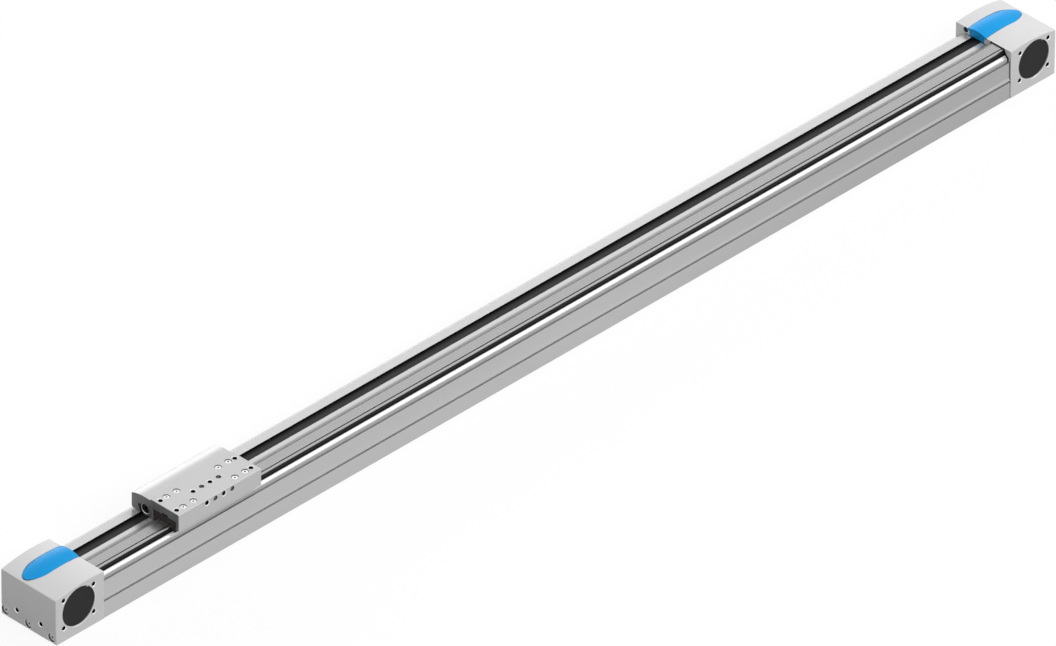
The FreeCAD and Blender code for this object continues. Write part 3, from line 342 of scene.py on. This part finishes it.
looks = {  # lines or grain with their scale, colours and ranges; a fade is painted shade, with axis, reach in m and shares
    "capMetal": {"pattern": "grain", "scale": {"Size": 2400, "Cloud": 14}, "metallic": 0.15,
                 "dark": grey(0.63), "light": grey(0.69), "roughness": (0.44, 0.54), "relief": 0.08},
    # bright cut metal at the holes' mouths, also a painted highlight there and on the shoulder's chamfer
    "brightCutAndHighlight": {"pattern": "grain", "scale": {"Size": 2400, "Cloud": 90}, "metallic": 0.8,
                  "dark": grey(0.86), "light": grey(0.93), "roughness": (0.24, 0.34), "relief": 0.04},
    "slideMetal": {"pattern": "lines", "scale": {"Across": 2600, "Along": 9}, "metallic": 0.25,
                   "dark": grey(0.545), "light": grey(0.575), "roughness": (0.27, 0.33),
                   "relief": 0.03},
    # painted shade: the slide's end faces dark
    "slideEndShade": {"pattern": "grain", "scale": {"Size": 1500, "Cloud": 60}, "metallic": 0.3,
                "dark": grey(0.16), "light": grey(0.21), "roughness": (0.4, 0.55), "relief": 0.1},
    # painted shade: threaded holes and their coils near black
    "threadShade": {"pattern": "grain", "scale": {"Size": 2400, "Cloud": 200}, "metallic": 0.2,
                    "dark": grey(0.008), "light": grey(0.02), "roughness": (0.5, 0.6), "relief": 0.1,
                    "specular": 0.1},
    "boreShade": {"pattern": "grain", "scale": {"Size": 2400, "Cloud": 200}, "metallic": 0.2,
                  "dark": grey(0.035), "light": grey(0.06), "roughness": (0.5, 0.6), "relief": 0.1,
                  "specular": 0.15},
    # painted shade: the pin holes an even mid grey
    "pinBoreShade": {"pattern": "grain", "scale": {"Size": 2400, "Cloud": 200}, "metallic": 0.3,
                   "dark": grey(0.2), "light": grey(0.25), "roughness": (0.45, 0.55), "relief": 0.1,
                   "specular": 0.2},
    "grooveShade": {"pattern": "lines", "scale": {"Across": 2600, "Along": 5}, "metallic": 0.2,
                    "dark": grey(0.16), "light": grey(0.19), "roughness": (0.5, 0.6), "relief": 0.02,
                    "specular": 0.15},
    "clampMetal": {"pattern": "grain", "scale": {"Size": 2400, "Cloud": 90}, "metallic": 0.3,
                   "dark": grey(0.1), "light": grey(0.14), "roughness": (0.4, 0.5), "relief": 0.05},
    "runnerPlastic": {"pattern": "grain", "scale": {"Size": 1500, "Cloud": 60}, "specular": 0.15,
                      "dark": (0.040, 0.031, 0.029), "light": (0.056, 0.045, 0.042),
                      "roughness": (0.45, 0.6), "relief": 0.12},
    "profileMetal": {"pattern": "lines", "scale": {"Across": 2600, "Along": 3}, "metallic": 0.55,
                     "dark": grey(0.515), "light": grey(0.53), "roughness": (0.275, 0.305),
                     "relief": 0.008},
    # painted shade: the profile's sides darker towards the far end
    "sideMetalFarShade": {"pattern": "lines", "scale": {"Across": 2600, "Along": 3}, "metallic": 0.55,
                  "dark": grey(0.515), "light": grey(0.53), "roughness": (0.275, 0.305),
                  "relief": 0.008, "fade": ("X", -0.05, 0.56, 1.0, 0.80)},
    # painted light and shade: the top strips lighter than the profile's metal, the strip beside the rail
    # darker towards it
    "stripLitRailShade": {"pattern": "lines", "scale": {"Across": 2600, "Along": 3}, "metallic": 0.55,
                   "dark": grey(0.62), "light": grey(0.635), "roughness": (0.20, 0.23),
                   "relief": 0.008, "fade": ("Y", -0.0050, -0.0006, 0.40, 1.0)},
    # painted light and shade: the shoulder's face lighter than the profile's metal, the chamfer's lower part
    # darker than its upper
    "shoulderLightAndShade": {"pattern": "lines", "scale": {"Across": 2600, "Along": 3}, "metallic": 0.1,
                     "dark": grey(0.6), "light": grey(0.63), "roughness": (0.4, 0.5), "relief": 0.008},
    # painted highlight: the shoulder's flat top near white, as a lit band
    "shoulderTopHighlight": {"pattern": "lines", "scale": {"Across": 2600, "Along": 3}, "dark": grey(0.9),
                    "light": grey(0.94), "roughness": (0.3, 0.4), "relief": 0.008},
    # painted shade: the belt slot's walls near black, standing in for the belt's shadow and reflection
    "slotWallShade": {"pattern": "lines", "scale": {"Across": 900, "Along": 12}, "metallic": 0.2,
                 "dark": grey(0.004), "light": grey(0.009), "roughness": (0.5, 0.65), "relief": 0.05,
                 "specular": 0.1},
    "railSteel": {"pattern": "lines", "scale": {"Across": 3200, "Along": 5}, "slowShare": 0.4,
                  "metallic": 0.9, "dark": grey(0.39), "light": grey(0.41), "roughness": (0.22, 0.25),
                  "relief": 0.008},
    # painted shade: the rail's rear edge darker
    "railEdgeShade": {"pattern": "lines", "scale": {"Across": 3200, "Along": 5}, "slowShare": 0.4,
                 "metallic": 0.6, "dark": grey(0.2), "light": grey(0.22), "roughness": (0.3, 0.36),
                 "relief": 0.008},
    "runnerSteel": {"pattern": "lines", "scale": {"Across": 1800, "Along": 8}, "slowShare": 0.4,
                    "metallic": 0.7, "dark": (0.10, 0.095, 0.09), "light": (0.14, 0.13, 0.125),
                    "roughness": (0.35, 0.5), "relief": 0.1},
    # lit and shaded copies of one screw steel: painted light for the slide's screws and the pins, painted
    # shade for the cap screws
    "screwSteelLit": {"pattern": "grain", "scale": {"Size": 3800, "Cloud": 300}, "metallic": 0.5,
                   "dark": grey(0.9), "light": grey(0.96), "roughness": (0.26, 0.36), "relief": 0.05},
    "screwSteelShaded": {"pattern": "grain", "scale": {"Size": 3800, "Cloud": 300}, "metallic": 0.5,
                      "dark": grey(0.46), "light": grey(0.54), "roughness": (0.3, 0.42),
                      "relief": 0.05},
    # dark steel for the tension screws, also painted shade on the rail's flanks and front groove
    "darkSteel": {"pattern": "grain", "scale": {"Size": 3800, "Cloud": 300}, "metallic": 0.3,
                  "dark": (0.020, 0.020, 0.021), "light": (0.034, 0.034, 0.035),
                  "roughness": (0.4, 0.55), "relief": 0.1, "specular": 0.2},
    "turnedMetal": {"pattern": "grain", "scale": {"Size": 2000, "Cloud": 60}, "metallic": 0.8,
                    "dark": (0.50, 0.50, 0.505), "light": (0.58, 0.58, 0.585),
                    "roughness": (0.25, 0.36), "relief": 0.1},
    "blueCover": {"pattern": "grain", "scale": {"Size": 2200, "Cloud": 20}, "slowShare": 0.6,
                  "specular": 0.12, "dark": (0.011, 0.315, 0.72), "light": (0.016, 0.345, 0.77),
                  "roughness": (0.34, 0.44), "relief": 0.06},
    "blackPlastic": {"pattern": "grain", "scale": {"Size": 1500, "Cloud": 40}, "specular": 0.12,
                     "dark": (0.020, 0.019, 0.019), "light": (0.027, 0.025, 0.025),
                     "roughness": (0.5, 0.62), "relief": 0.12},
    # black rubber; its fade is painted shade, darker towards the slot's rear wall
    "beltRubber": {"pattern": "lines", "scale": {"Across": 900, "Along": 30}, "slowShare": 0.4,
                   "specular": 0.12, "dark": (0.024, 0.023, 0.023), "light": (0.030, 0.029, 0.029),
                   "roughness": (0.45, 0.6), "relief": 0.1, "fade": ("Y", 0.0070, 0.0125, 1.0, 0.10)},
    # black rubber for the seals and buffers, also painted shade at the far joint and on the covers' walls
    "sealRubber": {"pattern": "grain", "scale": {"Size": 1800, "Cloud": 60}, "specular": 0.12,
                   "dark": grey(0.01), "light": grey(0.016), "roughness": (0.5, 0.65), "relief": 0.2},
}
finishes = {name: finish(name, look) for name, look in looks.items()}
print("finishes:", len(finishes))


# Pieces that stay as their solids

plainNodes = {
    "beltRubber": ["toothed_belt"],
    "sealRubber": [f"{end}_{piece}" for end in ends for piece in ("rail_seal", "stop_buffer")],
    "runnerPlastic": [f"{end}_runner_end_caps" for end in ends],
    "runnerSteel": [f"{end}_runner_block" for end in ends],
    "turnedMetal": [f"{end}_{piece}" for end in ends for piece in (
        "pulley", "pulley_flanges", "bearing_clips", "front_bearing_inner", "front_bearing_outer",
        "rear_bearing_inner", "rear_bearing_outer")],
    "darkSteel": [f"{end}_tension_screw" for end in ends],
}
for name, nodes in plainNodes.items():
    for node in nodes:
        coat(frame["nodes"][node], name)
print("plain nodes:", sum(len(nodes) for nodes in plainNodes.values()))


# Profile and rail

profileLook = {"edge": 0.12, "shadeReach": 0.8, "shadeTop": 42.15, "wallFacing": 0.9, "jointShade": 0.8,
               "shoulderSplit": 40.87}  # mm, and how squarely a slot wall looks along Y
zoneLook = {  # finish, and Y and Z ranges in mm
    "sideGroove": ("grooveShade", (-33.4, -32.4), (17.0, 17.4)),
    "ledge": ("grooveShade", (-32.25, -29.6), (36.5, 37.6)),
    "shoulderLightAndShade": ("shoulderLightAndShade", (-29.7, -28.0), (36.7, profileLook["shoulderSplit"])),
    "shoulderTopHighlight": ("shoulderTopHighlight", (-27.6, -26.1), (42.05, 42.3)),
    "railStrip": ("stripLitRailShade", (-7.5, 2.45), (42.05, 42.3)),
    "rearStrip": ("stripLitRailShade", (13.55, 22.7), (42.05, 42.3)),
    "sideUpper": ("sideMetalFarShade", (-32.4, -32.2), (17.5, 37.5)),
    "sideLower": ("sideMetalFarShade", (-33.6, -33.4), (0.3, 17.2)),
    # painted highlight: the upper part of the shoulder's chamfer bright
    "shoulderChamfer": ("brightCutAndHighlight", (-28.9, -27.45), (profileLook["shoulderSplit"], 42.15)),
}
profile = copyOfNode("profile", "profileExtrusion")
roundEdges(profile, profileLook["edge"])
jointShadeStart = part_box("profile")[1].x - profileLook["jointShade"] * mm
editAll(profile)  # a line for painted shade at the far cap's joint, and one along the shoulder's chamfer between its painted highlight and shade
bpy.ops.mesh.bisect(plane_co=(jointShadeStart, 0, 0), plane_no=(1, 0, 0))
bpy.ops.mesh.select_all(action="SELECT")
bpy.ops.mesh.bisect(plane_co=(0, 0, profileLook["shoulderSplit"] * mm), plane_no=(0, 0, 1))
endEdit()
coat(profile, "profileMetal", "slotWallShade", "grooveShade", "sealRubber", "shoulderLightAndShade", "shoulderTopHighlight",
     "stripLitRailShade", "sideMetalFarShade", "brightCutAndHighlight")
beltLow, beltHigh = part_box("toothed_belt")
for face in profile.data.polygons:
    beltGap = min(abs(face.center.y - beltLow.y), abs(face.center.y - beltHigh.y))
    inSlot = (beltLow.z < face.center.z < profileLook["shadeTop"] * mm
              and beltGap < profileLook["shadeReach"] * mm)
    if inSlot and abs(face.normal.y) > profileLook["wallFacing"]:  # the slot's walls take painted shade, near black
        paint(profile, face, "slotWallShade")
    for finishName, (yLow, yHigh), (zLow, zHigh) in zoneLook.values():
        if yLow < face.center.y / mm < yHigh and zLow < face.center.z / mm < zHigh and not inSlot:
            paint(profile, face, finishName)
    # painted shade: a dark band at the far cap's joint
    if face.center.x > jointShadeStart:
        paint(profile, face, "sealRubber")
dress(profile, "axis_base", "profile_aluminium", "profile")

railLook = {"edge": 0.12, "flankTop": 45.7, "lineTop": 47.5, "lineStart": 5.15, "lineEnd": 6.2,
            "topFacing": 0.95}  # mm, and how squarely the top looks up
rail = copyOfNode("guide_rail", "guideRail")
roundEdges(rail, railLook["edge"])
railMiddle = (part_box("guide_rail")[0].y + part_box("guide_rail")[1].y) / 2
editAll(rail)  # the front line of painted shade is a little wider than its groove
bpy.ops.mesh.bisect(plane_co=(0, railMiddle - railLook["lineEnd"] * mm, 0), plane_no=(0, 1, 0))
endEdit()
coat(rail, "railSteel", "darkSteel", "grooveShade", "railEdgeShade")
for face in rail.data.polygons:  # painted shade: the flanks with the ball tracks, the fine grooves on top and the rear edge are dark
    offset, height = (face.center.y - railMiddle) / mm, face.center.z / mm
    if railLook["lineStart"] < abs(offset) < railLook["lineEnd"] and height < railLook["lineTop"]:
        paint(rail, face, "darkSteel" if offset < 0 else "grooveShade")
    elif offset > railLook["lineEnd"]:
        paint(rail, face, "railEdgeShade")
    if face.normal.z < railLook["topFacing"] and height < railLook["flankTop"]:
        paint(rail, face, "darkSteel")
dress(rail, "axis_base", "rail_steel", "guide_rail")
print("profile and rail done")


# End caps

capLook = {"threadRim": 0.5, "portRim": 0.25, "headRim": 0.3, "headRatio": 0.5, "portRadius": 19.2,
           "screwRun": 28.2, "screwHeight": 5.9, "headRadius": 4.55}  # mm, and a rim's depth to its width


def capScrewCentres(x):
    return [Vector((x, side * capLook["screwRun"] * mm, capLook["screwHeight"] * mm)) for side in (-1, 0, 1)]


for end, sign in ends.items():
    cap = copyOfNode(f"{end}_end_cap", f"{end}EndCap")
    coat(cap, "capMetal", "brightCutAndHighlight", "threadShade", "boreShade")
    threads = [f"{end}_front_port", f"{end}_rear_port", f"{end}_end_threads"]
    chamferMouths(cap, rimsOf(*threads), capLook["threadRim"])
    ports = [(Vector(mounts[name]["pos_m"]), Vector(mounts[name]["axis"]), capLook["portRadius"] * mm)
             for name in threads[:2]]
    chamferMouths(cap, ports, capLook["portRim"])
    outerEnd = mounts[threads[2]]["pos_m"][0]
    heads = [(centre, Vector((sign, 0, 0)), capLook["headRadius"] * mm)
             for centre in capScrewCentres(outerEnd)]
    chamferMouths(cap, heads, capLook["headRim"], capLook["headRatio"])
    shadeBores(cap, rimsOf(*threads), "threadShade")
    shadeBores(cap, heads, "boreShade")
    smooth(cap)
    dress(cap, "axis_base", "cap_aluminium", f"{end}_end_cap")
print("end caps done")


# Belt covers and port covers

coverLook = {"edge": 0.35, "segments": 3, "mouth": 3.0, "wall": 0.2}  # mm, and a wall's slope at most
portLook = {"edge": 0.15}  # mm
for end in ends:
    cover = copyOfNode(f"{end}_belt_cover", f"{end}BeltCover")
    roundEdges(cover, coverLook["edge"], coverLook["segments"])
    coat(cover, "blueCover", "sealRubber")
    for face in cover.data.polygons:  # the walls down in the gap take painted shade, but not the end over the belt
        inGap = abs(face.center.x) > jointShadeStart + coverLook["mouth"] * mm
        if inGap and abs(face.normal.z) < coverLook["wall"]:
            paint(cover, face, "sealRubber")
    dress(cover, "axis_base", "cover_plastic", f"{end}_belt_cover")
    for side in ("front", "rear"):
        node = f"{end}_{side}_port_cover"
        port = copyOfNode(node, f"{end}{side.title()}PortCover")
        roundEdges(port, portLook["edge"])
        coat(port, "blackPlastic")
        dress(port, "axis_base", "port_plastic", node)
print("covers done")


# Slide

slideLook = {"threadRim": 0.45, "threadStep": 0.3, "pinRim": 0.25, "rimRatio": 0.6, "blockRun": 61.4,
             "screwRun": 12.0, "screwRise": 20.4, "boreRadius": 3.2, "smoothAngle": 20,
             "endFacing": 0.95}  # mm and degrees, a rim's depth to its width, how squarely an end looks out
clampLook = {"boreRadius": 6.1, "headRadius": 4.6, "rim": 0.6, "rimRatio": 0.6, "slitY": (13.8, 15.2),
             "slitZ": (48.4, 52.0), "slack": 0.1, "wallFacing": 0.1}  # mm, and two ratios
slideTop = mounts["slide_top_threads"]["pos_m"][2]
screwLow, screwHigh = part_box("slide_screws")
screwMiddle = (screwLow + screwHigh) / 2
screwPlaces = [
    Vector((screwMiddle.x + (block * slideLook["blockRun"] + run * slideLook["screwRun"]) * mm / 2,
            screwMiddle.y + rise * slideLook["screwRise"] * mm / 2, screwHigh.z))
    for block in (-1, 1) for run in (-1, 1) for rise in (-1, 1)]
slide = copyOfNode("slide_plate", "slidePlate")
coat(slide, "slideMetal", "brightCutAndHighlight", "slideEndShade", "threadShade", "boreShade", "pinBoreShade")
slideThreads = rimsOf("slide_top_corners", "slide_top_threads", "slide_side_threads")
slidePins = rimsOf("slide_top_pins", "slide_side_pins")
screwBores = [(Vector((place.x, place.y, slideTop)), Vector((0, 0, 1)), slideLook["boreRadius"] * mm)
              for place in screwPlaces]
threadMouths = [(centre, axis, radius + slideLook["threadStep"] * mm)
                for centre, axis, radius in slideThreads]
chamferMouths(slide, threadMouths, slideLook["threadRim"], slideLook["rimRatio"])
chamferMouths(slide, slidePins, slideLook["pinRim"], slideLook["rimRatio"])
smooth(slide, slideLook["smoothAngle"])
shadeBores(slide, slideThreads, "threadShade")
shadeBores(slide, screwBores, "boreShade")
shadeBores(slide, slidePins, "pinBoreShade")
clampLow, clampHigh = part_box("near_tension_screw")
clampMiddle = (clampLow + clampHigh) / 2
for face in slide.data.polygons:
    reach = Vector((face.center.y - clampMiddle.y, face.center.z - clampMiddle.z)).length
    inSlit = all(low < value / mm < high for value, (low, high) in (
        (face.center.y, clampLook["slitY"]), (face.center.z, clampLook["slitZ"])))
    onBore = abs(reach - clampLook["boreRadius"] * mm) < clampLook["slack"] * mm
    # the slide's end faces take painted shade
    if abs(face.normal.x) > slideLook["endFacing"]:
        paint(slide, face, "slideEndShade")
    if inSlit or onBore and abs(face.normal.x) < clampLook["wallFacing"]:
        paint(slide, face, "boreShade")
dress(slide, "slide", "slide_aluminium", "slide_plate")

for end, sign in ends.items():
    clamp = copyOfNode(f"{end}_belt_clamp", f"{end}BeltClamp")
    coat(clamp, "clampMetal", "brightCutAndHighlight", "boreShade")
    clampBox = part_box(f"{end}_belt_clamp")
    mouth = [(Vector((clampBox[(sign + 1) // 2].x, clampMiddle.y, clampMiddle.z)), Vector((sign, 0, 0)),
              clampLook["headRadius"] * mm)]
    chamferMouths(clamp, mouth, clampLook["rim"], clampLook["rimRatio"])
    shadeBores(clamp, mouth, "boreShade")
    smooth(clamp)
    dress(clamp, "slide", "clamp_aluminium", f"{end}_belt_clamp")
print("slide done")


# Socket screws

screwLook = {"sides": 48, "topEdge": 0.25, "edgeSegments": 3, "smoothAngle": 40, "skin": 0.01,
             "socketDepth": 0.55, "socketSlack": 1.1, "downFacing": 0.9}  # mm and degrees, and shares
capScrew = {"headRadius": 4.25, "headHeight": 5.3, "shankRadius": 2.5, "length": 69.6, "socketRadius": 1.0,
            "sink": 0.9}  # mm
slideScrew = {"headRadius": 2.9, "headHeight": 3.7, "shankRadius": 1.7, "length": 12.0, "socketRadius": 1.0,
              "sink": 0.5}  # mm


def socketScrew(name, size, finishName):  # head's face at the origin, shank along -Z
    head, height = size["headRadius"] * mm, size["headHeight"] * mm
    clearSelection()
    bpy.ops.mesh.primitive_cylinder_add(vertices=screwLook["sides"], radius=head, depth=height,
                                        location=(0, 0, -height / 2))
    screw = bpy.context.object
    screw.name = screw.data.name = name
    bpy.ops.object.transform_apply(location=True)
    selectEdges(screw, lambda *points: all(point.z > -screwLook["skin"] * mm for point in points))
    bpy.ops.mesh.bevel(offset=screwLook["topEdge"] * mm, segments=screwLook["edgeSegments"], affect="EDGES")
    endEdit()
    selectFaces(screw, lambda centre, normal: normal.z < -screwLook["downFacing"])
    bpy.ops.mesh.inset(thickness=(size["headRadius"] - size["shankRadius"]) * mm)
    shank = (size["headHeight"] - size["length"]) * mm
    bpy.ops.mesh.extrude_region_move(TRANSFORM_OT_translate={"value": (0, 0, shank)})
    endEdit()
    clearSelection()
    depth = height * screwLook["socketDepth"]
    bpy.ops.mesh.primitive_cylinder_add(vertices=6, radius=size["socketRadius"] * mm, depth=2 * depth)
    key = bpy.context.object
    applyModifier(screw, "BOOLEAN", object=key, operation="DIFFERENCE", solver="EXACT")
    bpy.data.objects.remove(key)
    smooth(screw, screwLook["smoothAngle"])
    coat(screw, finishName, "boreShade")
    for face in screw.data.polygons:  # the socket's inside
        inside = face.center.xy.length < size["socketRadius"] * mm
        if inside and screwLook["skin"] * mm < -face.center.z < screwLook["socketSlack"] * depth:
            paint(screw, face, "boreShade")
    return screw


def copiesAt(source, name, placements):  # one piece made of a copy at each placement
    copies = []
    for placement in placements:
        copy = source.copy()
        copy.data = source.data.copy()
        copy.data.transform(placement)
        bpy.context.scene.collection.objects.link(copy)
        copies.append(copy)
    pick(*copies)
    bpy.ops.object.join()
    copies[0].name = copies[0].data.name = name
    return copies[0]


capHead = socketScrew("capScrewPattern", capScrew, "screwSteelShaded")
for end, sign in ends.items():
    headPlane = mounts[f"{end}_end_threads"]["pos_m"][0] - sign * capScrew["sink"] * mm
    turn = Matrix.Rotation(math.radians(90 * sign), 4, "Y")
    places = [Matrix.Translation(centre) @ turn for centre in capScrewCentres(headPlane)]
    screws = copiesAt(capHead, f"{end}CapScrews", places)
    dress(screws, "axis_base", "screw_steel", f"{end}_cap_screws")

slideHead = socketScrew("slideScrewPattern", slideScrew, "screwSteelLit")
headPlane = slideTop - slideScrew["sink"] * mm
places = [Matrix.Translation((*place.xy, headPlane)) for place in screwPlaces]
screws = copiesAt(slideHead, "slideScrews", places)
dress(screws, "slide", "screw_steel", "slide_screws")
for pattern in (capHead, slideHead):
    bpy.data.objects.remove(pattern)
print("screws done")


# Pins in the slots of the port covers

pinLook = {"radius": 0.55, "sides": 32, "edge": 0.11, "edgeSegments": 2, "smoothAngle": 40, "reach": 18.55,
           "angle": 53, "top": 1.15, "floor": 3.0}  # mm and degrees
clearSelection()
pinSize = (pinLook["floor"] - pinLook["top"]) * mm
bpy.ops.mesh.primitive_cylinder_add(vertices=pinLook["sides"], radius=pinLook["radius"] * mm, depth=pinSize)
pin = bpy.context.object
selectEdges(pin, lambda *points: all(point.z > 0 for point in points))
bpy.ops.mesh.bevel(offset=pinLook["edge"] * mm, segments=pinLook["edgeSegments"], affect="EDGES")
endEdit()
smooth(pin, pinLook["smoothAngle"])
places = []
portNames = [f"{end}_{side}_port" for end in ends for side in ("front", "rear")]
for name in portNames:  # pins that stop the covers turning
    centre, axis = Vector(mounts[name]["pos_m"]), Vector(mounts[name]["axis"])
    angle, reach = math.radians(pinLook["angle"]), pinLook["reach"] * mm
    middle = centre + Vector((math.cos(angle), 0, math.sin(angle))) * reach
    middle -= axis * (pinLook["top"] * mm + pinSize / 2)
    places.append(Matrix.Translation(middle) @ axis.to_track_quat("Z", "Y").to_matrix().to_4x4())
pins = copiesAt(pin, "portPins", places)
coat(pins, "screwSteelLit")
dress(pins, "axis_base", "screw_steel")
bpy.data.objects.remove(pin)
print("pins done")


# Threads in the holes

threadLook = {"pitch": 0.8, "ridge": 0.32, "foot": 0.02, "start": 0.7, "turns": 7, "steps": 20,
              "smoothAngle": 40}  # mm, counts and degrees
clearSelection()
threadRadius = mounts["slide_top_threads"]["dims"]["hole_r_mm"]
bpy.ops.mesh.primitive_circle_add(vertices=3, radius=threadLook["pitch"] * mm / 2)
coil = bpy.context.object
editAll(coil)
bpy.ops.transform.rotate(value=math.radians(90), orient_axis="Z", center_override=(0, 0, 0))
bpy.ops.transform.rotate(value=math.radians(90), orient_axis="X", center_override=(0, 0, 0))
endEdit()
for point in coil.data.vertices:  # the ridge's point looks at the axis
    rise = -threadLook["ridge"] if point.co.x < 0 else threadLook["foot"]
    point.co.x = (threadRadius + rise) * mm
applyModifier(coil, "SCREW", screw_offset=-threadLook["pitch"] * mm, iterations=threadLook["turns"],
              steps=threadLook["steps"], render_steps=threadLook["steps"], axis="Z",
              use_normal_calculate=True)
smooth(coil, threadLook["smoothAngle"])
threadHomes = {"slide_top_corners": "slide", "slide_top_threads": "slide", "slide_side_threads": "slide"}
for end in ends:
    for port in ("front_port", "rear_port", "end_threads"):
        threadHomes[f"{end}_{port}"] = "axis_base"
for name, body in threadHomes.items():
    axis = Vector(mounts[name]["axis"])
    turn = axis.to_track_quat("Z", "Y").to_matrix().to_4x4()
    places = [Matrix.Translation(centre - axis * threadLook["start"] * mm) @ turn
              for centre in holeCentres(mounts[name])]
    threads = copiesAt(coil, "".join(word.title() for word in name.split("_")) + "Coils", places)
    slot = "slide_aluminium" if body == "slide" else "cap_aluminium"
    # the coils take painted shade
    coat(threads, "threadShade")
    dress(threads, body, slot)
bpy.data.objects.remove(coil)
print("threads done")


# Floor, light and camera

stageLook = {"floorSize": 240.0, "floorDrop": 0.0002, "bounce": 0.4, "shadowShare": 0.12, "ambient": 0.25,
             "mirroredLamps": ("rimBox", "edgeBox")}  # metres, and shares


def whiteForCamera(tree):  # 1 where the camera, a reflection or glass looks at the backdrop
    rays = tree.nodes.new("ShaderNodeLightPath").outputs
    seen = mathOn(tree, "MAXIMUM", rays["Is Camera Ray"], rays["Is Glossy Ray"])
    return mathOn(tree, "MAXIMUM", seen, rays["Is Transmission Ray"])


clearSelection()
bpy.ops.mesh.primitive_plane_add(size=stageLook["floorSize"], location=(0, 0, -stageLook["floorDrop"]))
floor = bpy.context.object
floor.name = "studioFloor"
floorPaper = bpy.data.materials.new("floorPaper")
floorPaper.use_nodes = True
tree = floorPaper.node_tree
tree.nodes.remove(tree.nodes["Principled BSDF"])
bounce = tree.nodes.new("ShaderNodeBsdfDiffuse")
bounce.inputs["Color"].default_value = (*[stageLook["bounce"]] * 3, 1)
paper = tree.nodes.new("ShaderNodeBsdfDiffuse")
paper.inputs["Color"].default_value = (1, 1, 1, 1)
glow = tree.nodes.new("ShaderNodeEmission")
shown, whole = tree.nodes.new("ShaderNodeMixShader"), tree.nodes.new("ShaderNodeMixShader")
shown.inputs["Fac"].default_value = stageLook["shadowShare"]
tree.links.new(glow.outputs[0], shown.inputs[1])
tree.links.new(paper.outputs[0], shown.inputs[2])
tree.links.new(whiteForCamera(tree), whole.inputs["Fac"])
tree.links.new(bounce.outputs[0], whole.inputs[1])
tree.links.new(shown.outputs[0], whole.inputs[2])
tree.links.new(whole.outputs[0], tree.nodes["Material Output"].inputs["Surface"])
floor.data.materials.append(floorPaper)

world = bpy.data.worlds.new("studio")
bpy.context.scene.world = world
world.use_nodes = True
tree = world.node_tree
background = tree.nodes["Background"]
level = tree.nodes.new("ShaderNodeMapRange")
level.inputs["To Min"].default_value = stageLook["ambient"]
tree.links.new(whiteForCamera(tree), level.inputs["Value"])
background.inputs["Color"].default_value = (1, 1, 1, 1)
tree.links.new(level.outputs[0], background.inputs["Strength"])

lamps = {  # direction from the object, distance and size in metres, power in watts
    "topBox": {"toward": (0.6, 0.0, 0.8), "distance": 6.0, "size": (3.0, 3.0), "power": 152.0},
    "rearBox": {"toward": (0.0, 0.97, 0.25), "distance": 6.0, "size": (4.0, 2.0), "power": 140.0},
    "rimBox": {"toward": (0.55, 0.79, 0.24), "distance": 6.0, "size": (3.0, 2.5), "power": 52.0},
    "frontBox": {"toward": (-0.1, -0.75, 0.65), "distance": 6.0, "size": (4.0, 1.6), "power": 182.0},
    "edgeBox": {"toward": (0.58, -0.573, 0.577), "distance": 5.0, "size": (2.1, 2.1), "power": 17.0},
}
for name, lamp in lamps.items():
    clearSelection()
    toward = Vector(lamp["toward"]).normalized()
    bpy.ops.object.light_add(type="AREA", location=toward * lamp["distance"])
    box = bpy.context.object
    box.name = name
    box.data.shape = "RECTANGLE"
    box.data.size, box.data.size_y = lamp["size"]
    box.data.energy = lamp["power"]
    box.rotation_mode = "QUATERNION"
    box.rotation_quaternion = (-toward).to_track_quat("-Z", "Y")
    box.visible_camera = False
    box.visible_glossy = name in stageLook["mirroredLamps"]  # the others leave no hot spots in the metal

shot = {"azimuth": -45.242, "elevation": 34.993, "roll": 0.278, "distance": 19.0441,  # degrees and metres
        "aim": (-0.00975, 0.0, 0.022), "right": -0.001229, "up": -0.001076, "lens": 754.0, "clipEnd": 100.0}
azimuth, elevation, roll = (math.radians(shot[key]) for key in ("azimuth", "elevation", "roll"))
back = Vector((math.sin(azimuth) * math.cos(elevation), -math.cos(azimuth) * math.cos(elevation),
               math.sin(elevation)))
right = Vector((0, 0, 1)).cross(back).normalized()
right = Matrix.Rotation(roll, 3, back) @ right
up = back.cross(right)
bpy.ops.object.camera_add()
camera = bpy.context.object
camera.data.lens = shot["lens"]
camera.data.clip_end = shot["clipEnd"]
place = Vector(shot["aim"]) + right * shot["right"] + up * shot["up"] + back * shot["distance"]
camera.matrix_world = Matrix.Translation(place) @ Matrix((right, up, back)).transposed().to_4x4()
bpy.context.scene.camera = camera
bpy.context.scene.view_settings.view_transform = "Standard"
print("stage done")
